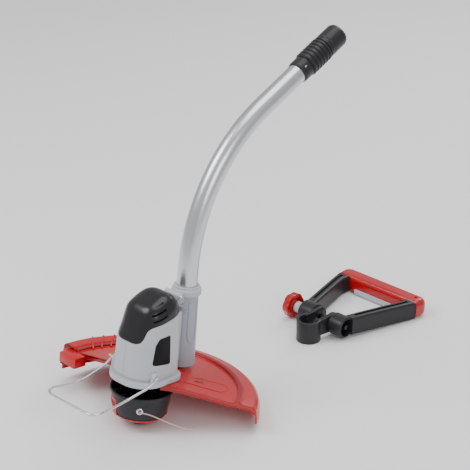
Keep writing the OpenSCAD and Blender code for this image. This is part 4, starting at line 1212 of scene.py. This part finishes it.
def makeArm(side):
    h = handle
    outer, inner = outerLoop(), innerLoop()
    rings = []
    for y in list(np.linspace(9.5, h["gripFrom"] - 0.1, 60)):
        xo, xi = crossing(outer, y, side), crossing(inner, y, side)
        if xi is None:
            xi = side * 38
        if y > 104:
            xi = crossing(inner, 103, side)
        low, top = -h["armZ"], h["armZ"] - 0.2 - 0.5 * (1 - math.sin(math.pi * min(1, y / 118)))
        a, b = min(xo, xi), max(xo, xi)
        a, b = a + 0.2, b - 0.2
        ring = rounded([(a, low), (b, low), (b, top), (a, top)], [3.2, 3.2, 4.5, 4.5], 6)
        rings.append([(x, y, z) for x, z in ring])
    middle = []
    for y in np.linspace(20, 112, 40):
        xo, xi = crossing(outer, y, side), crossing(inner, min(y, 103), side)
        middle.append(((xo + xi) / 2, y))
    slot = []
    wide = 2.3
    for x, y in middle:
        slot.append([(x - wide, y, h["armZ"] - 3.6), (x + wide, y, h["armZ"] - 3.6),
                     (x + wide, y, h["armZ"] + 2), (x - wide, y, h["armZ"] + 2)])
    makePiece(f"handleArm{'RL'[side < 0]}", loft(rings), "charcoal",
              ("handle_frame",) if side > 0 else (), "handle_loop",
              place=handleTurned, sharp=40, holes=[loft(slot)])
    inlay = []
    for x, y in middle[1:-1]:
        inlay.append([(x - 1.9, y, h["armZ"] - 3.9), (x + 1.9, y, h["armZ"] - 3.9),
                      (x + 1.9, y, h["armZ"] - 1.7), (x - 1.9, y, h["armZ"] - 1.7)])
    makePiece(f"armInlay{'RL'[side < 0]}", loft(inlay), "black", (), "handle_loop",
              place=handleTurned, edge=0.3, sharp=40)


def makeHub(side):
    h = handle
    near, far = 16.95, 42.0
    outline = [(4.05, near), (h["hubR"] - 1.2, near), (h["hubR"], near + 1.2), (h["hubR"], far - 2.2),
               (h["hubR"] - 2.2, far)]
    if side > 0:
        outline += [(13.4, far), (13.2, far - 0.3), (13.2, 28.2), (13, 28), (4.05, 28)]
    else:
        outline += [(4.05, far)]
    radii = [0.2, 0.8, 1, 1.2, 1.2, 0.3, 0.3, 0.3, 0.3, 0] if side > 0 else [0.2, 0.8, 1, 1.2, 1.2, 0.3]
    shape = alongX(lathe(rounded(outline, radii, 4), 96))
    if side < 0:
        shape = moved(shape, Matrix.Rotation(math.radians(180), 4, "Z"))
    makePiece(f"handleHub{'RL'[side < 0]}", shape, "charcoal", (), "handle_loop",
              place=handleTurned, sharp=35)


def gripOutline(inset, count=144):
    h = handle
    discs = [(side * h["cornerX"], h["cornerY"], h["cornerR"] - inset) for side in (-1, 1)]
    discs += [(side * (77.2 - inset), h["gripFrom"] + inset * 0.7, 0.0) for side in (-1, 1)]
    out = []
    for k in range(count):
        a = 2 * math.pi * (k + 0.5) / count
        n = (math.cos(a), math.sin(a))
        x, y, r = max(discs, key=lambda d: d[0] * n[0] + d[1] * n[1] + d[2])
        out.append((x + r * n[0], y + r * n[1] + k * 1e-5))
    return out


def makeGrip():
    h = handle
    front, back = h["gripFrom"], h["gripTo"]
    rings = []
    soft = 9.5
    for k in range(33):
        up = math.radians(-90 + 180 * k / 32)
        z = math.copysign(h["armZ"] - soft, up) + soft * math.sin(up) if k != 16 else 0.0
        rings.append([(x, y, z) for x, y in gripOutline(soft * (1 - math.cos(up)))])
    hole = shifted(lathe([(0, -3), (2.4, -3), (2.4, 5), (0, 5)], 32), h["cornerX"] - 1, (front + back) / 2,
                   h["armZ"])
    makePiece("handleGrip", loft(rings), "trim", ("handle_grip",), "handle_loop",
              place=handleTurned, sharp=50, holes=[hole])
    strip = loft([[(x, front - 2.2, -12.6), (x, front - 2.2, -4.6), (x, front + 4, -4.6),
                   (x, front + 4, -12.6)]
                  for x in np.linspace(-42, 42, 30)])
    makePiece("gripStrip", strip, "shell", (), "handle_loop", place=handleTurned, edge=0.8,
              sharp=40)


def makeClamp():
    h = handle
    outer = [(h["clampR"] * math.cos(math.radians(a)),
              h["clampR"] * math.sin(math.radians(a))) for a in range(134, 407, 3)]
    inner = [(h["bore"] * math.cos(math.radians(a)),
              h["bore"] * math.sin(math.radians(a))) for a in range(406, 133, -3)]
    band = prism(rounded(outer + inner,
                         [0.6 if i in (0, len(outer) - 1, len(outer), len(outer) + len(inner) - 1) else 0
                                         for i in range(len(outer) + len(inner))], 3), -19.2, 13.8)
    turnedBand = shifted(band, 0, h["clampY"], 0)
    makePiece("clampBand", turnedBand, "charcoal", ("handle_clamp",), "handle_base",
              place=handleBase, edge=0.7, sharp=40)
    for side in (-1, 1):
        points = hullOf(discAt(0, 0, 14.2) + [(-34, -10), (-34, 12)])
        near, far = 9.6, 16.4
        shape = loft([[(side * x, y, z) for y, z in points] for x in (near, far)])
        hole = alongX(lathe([(0, -30), (4.15, -30), (4.15, 30), (0, 30)], 40))
        makePiece(f"clampEar{'RL'[side < 0]}", shape, "charcoal", (), "handle_base",
                  place=handleBase, edge=0.9, sharp=35,
                  holes=[hole, shifted(lathe([(0, -40), (h["bore"], -40), (h["bore"], 40), (0, 40)], 64), 0,
                                       h["clampY"], 0)])
        lug = block((side * 12.9 - 3.1, -31, 6), (side * 12.9 + 3.1, -19, 13.7))
        slit = block((side * 12.9 - 1.2, -29.5, 11), (side * 12.9 + 1.2, -20.5, 20))
        makePiece(f"clampLug{'RL'[side < 0]}", lug, "charcoal", (), "handle_base",
                  place=handleBase, edge=0.6, sharp=40, holes=[slit])


def makeClampFixings():
    bolt = rounded([(0, -60), (3.8, -60), (3.8, 40.5), (0, 40.5)], [0, 0.5, 0.6, 0], 3)
    makePiece("clampBolt", alongX(lathe(bolt, 48)), "blade", ("clamp_bolt",), "handle_base",
              place=handleBase, sharp=40)
    nut = [(6.4 * math.cos(math.radians(60 * k)), 6.4 * math.sin(math.radians(60 * k))) for k in range(6)]
    hole = lathe([(0, 0), (4.1, 0), (4.1, 60), (0, 60)], 40)
    makePiece("clampNut", alongX(prism(nut, 28.6, 34.4)), "blade", ("clamp_nut",), "handle_base",
              place=handleBase, edge=0.5, sharp=40,
              holes=[alongX(hole)])
    spacer = rounded([(4.2, -56.6), (7.6, -56.6), (8.4, -55.6), (8.4, -42.9), (7.6, -42.3), (4.2, -42.3)],
                     [0.2, 0.5, 0.7, 0.7, 0.5, 0.2], 3)
    makePiece("clampSpacer", alongX(lathe(spacer, 64)), "shell", ("clamp_spacer",),
              "handle_base", place=handleBase, sharp=40)
    count = 192
    rings = []
    for k in range(count):
        a = 2 * math.pi * k / count
        lobe = 0.5 + 0.5 * math.cos(6 * a)
        full = 19.1 - 1.5 * (1 - lobe) ** 2
        ring = []
        for r, x in rounded([(4.1, -57.1), (14, -57.1), (full - 0.4, -58.6), (full, -60),
                             (full - 0.6, -69.2), (full - 2.6, -70.9),
                             (14.4, -70.4), (12.6, -66.4), (7.5, -65.4), (7, -64), (0.01, -64), (0.01,
                                     -60), (4.1, -60)],
                            [0.2, 1, 1.2, 2, 1.4, 1.4, 1.4, 1.6, 0.8, 0.3, 0, 0, 0.2], 4):
            ring.append((x, r * math.cos(a), r * math.sin(a)))
        rings.append(ring)
    makePiece("clampKnob", loft(rings, loop=True), "trim", ("clamp_knob",), "handle_knob",
              place=handleBase, sharp=40)


for side in (1, -1):
    makeArm(side)
    makeHub(side)
makeGrip()
makeClamp()
makeClampFixings()
print("handle made")


# finishes on the inner parts that the frame carries over
innerFinish = {"motor_magnets": "carbon", "armature": "copper", "commutator": "copper", "carbon_brushes": "carbon",
               "cooling_fan": "black", "spool": "black", "wound_line": "line", "brush_holders": "black",
               "power_lead": "rubber", "contact_pins": "copper", "connector_block": "black", "tube": "tube"}


def finishCarriedOver():
    for name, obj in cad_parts.items():
        if not obj.hide_render:
            obj.data.materials.clear()
            obj.data.materials.append(finishes[innerFinish.get(name, "steel")])


finishCarriedOver()
print("inner parts finished")


# pale floor, soft studio light
studio = {"floor": (0.92, 0.92, 0.925), "size": 6.0}


def makeStudio():
    paint = Paint("paleFloor")
    place = paint.add("ShaderNodeTexCoord", out=3)
    drift = paint.add("ShaderNodeTexNoise", None, {"Vector": place, "Scale": 3.0, "Detail": 2.0})
    low = tuple(c * 0.995 for c in studio["floor"])
    floorPaint = paint.finish(paint.add("ShaderNodeBsdfPrincipled", None, {
        "Base Color": paint.blend(drift, low, studio["floor"]), "Roughness": 0.75}))
    s = studio["size"]
    mesh = bpy.data.meshes.new("floor")
    mesh.from_pydata([(-s, -s, floorZ * mm - 0.0002), (s, -s, floorZ * mm - 0.0002),
                      (s, s, floorZ * mm - 0.0002),
                      (-s, s, floorZ * mm - 0.0002)], [], [(0, 1, 2, 3)])
    floor = bpy.data.objects.new("floor", mesh)
    mesh.materials.append(floorPaint)
    bpy.context.scene.collection.objects.link(floor)
    world = bpy.data.worlds.new("studio")
    world.use_nodes = True
    background = world.node_tree.nodes["Background"]
    background.inputs["Color"].default_value = (1, 1, 1, 1)
    background.inputs["Strength"].default_value = 0.62
    bpy.context.scene.world = world
    for name, at, size, power in (("keyLight", (-0.9, -1.1, 1.9), 1.2, 26),
                                  ("fillLight", (1.6, -0.6, 1.2), 1.0, 9),
                                  ("topLight", (0.1, 0.5, 2.2), 1.6, 18), ("backLight", (-0.4, 2.0, 1.3),
                                          1.0, 10)):
        data = bpy.data.lights.new(name, "AREA")
        data.shape = "DISK"
        data.size = size
        data.energy = power
        light = bpy.data.objects.new(name, data)
        aim = (Vector((0.05, 0.2, 0.05)) - Vector(at)).normalized()
        light.matrix_world = Matrix.Translation(at) @ aim.to_track_quat("-Z", "Y").to_matrix().to_4x4()
        bpy.context.scene.collection.objects.link(light)


makeStudio()
print("studio made")
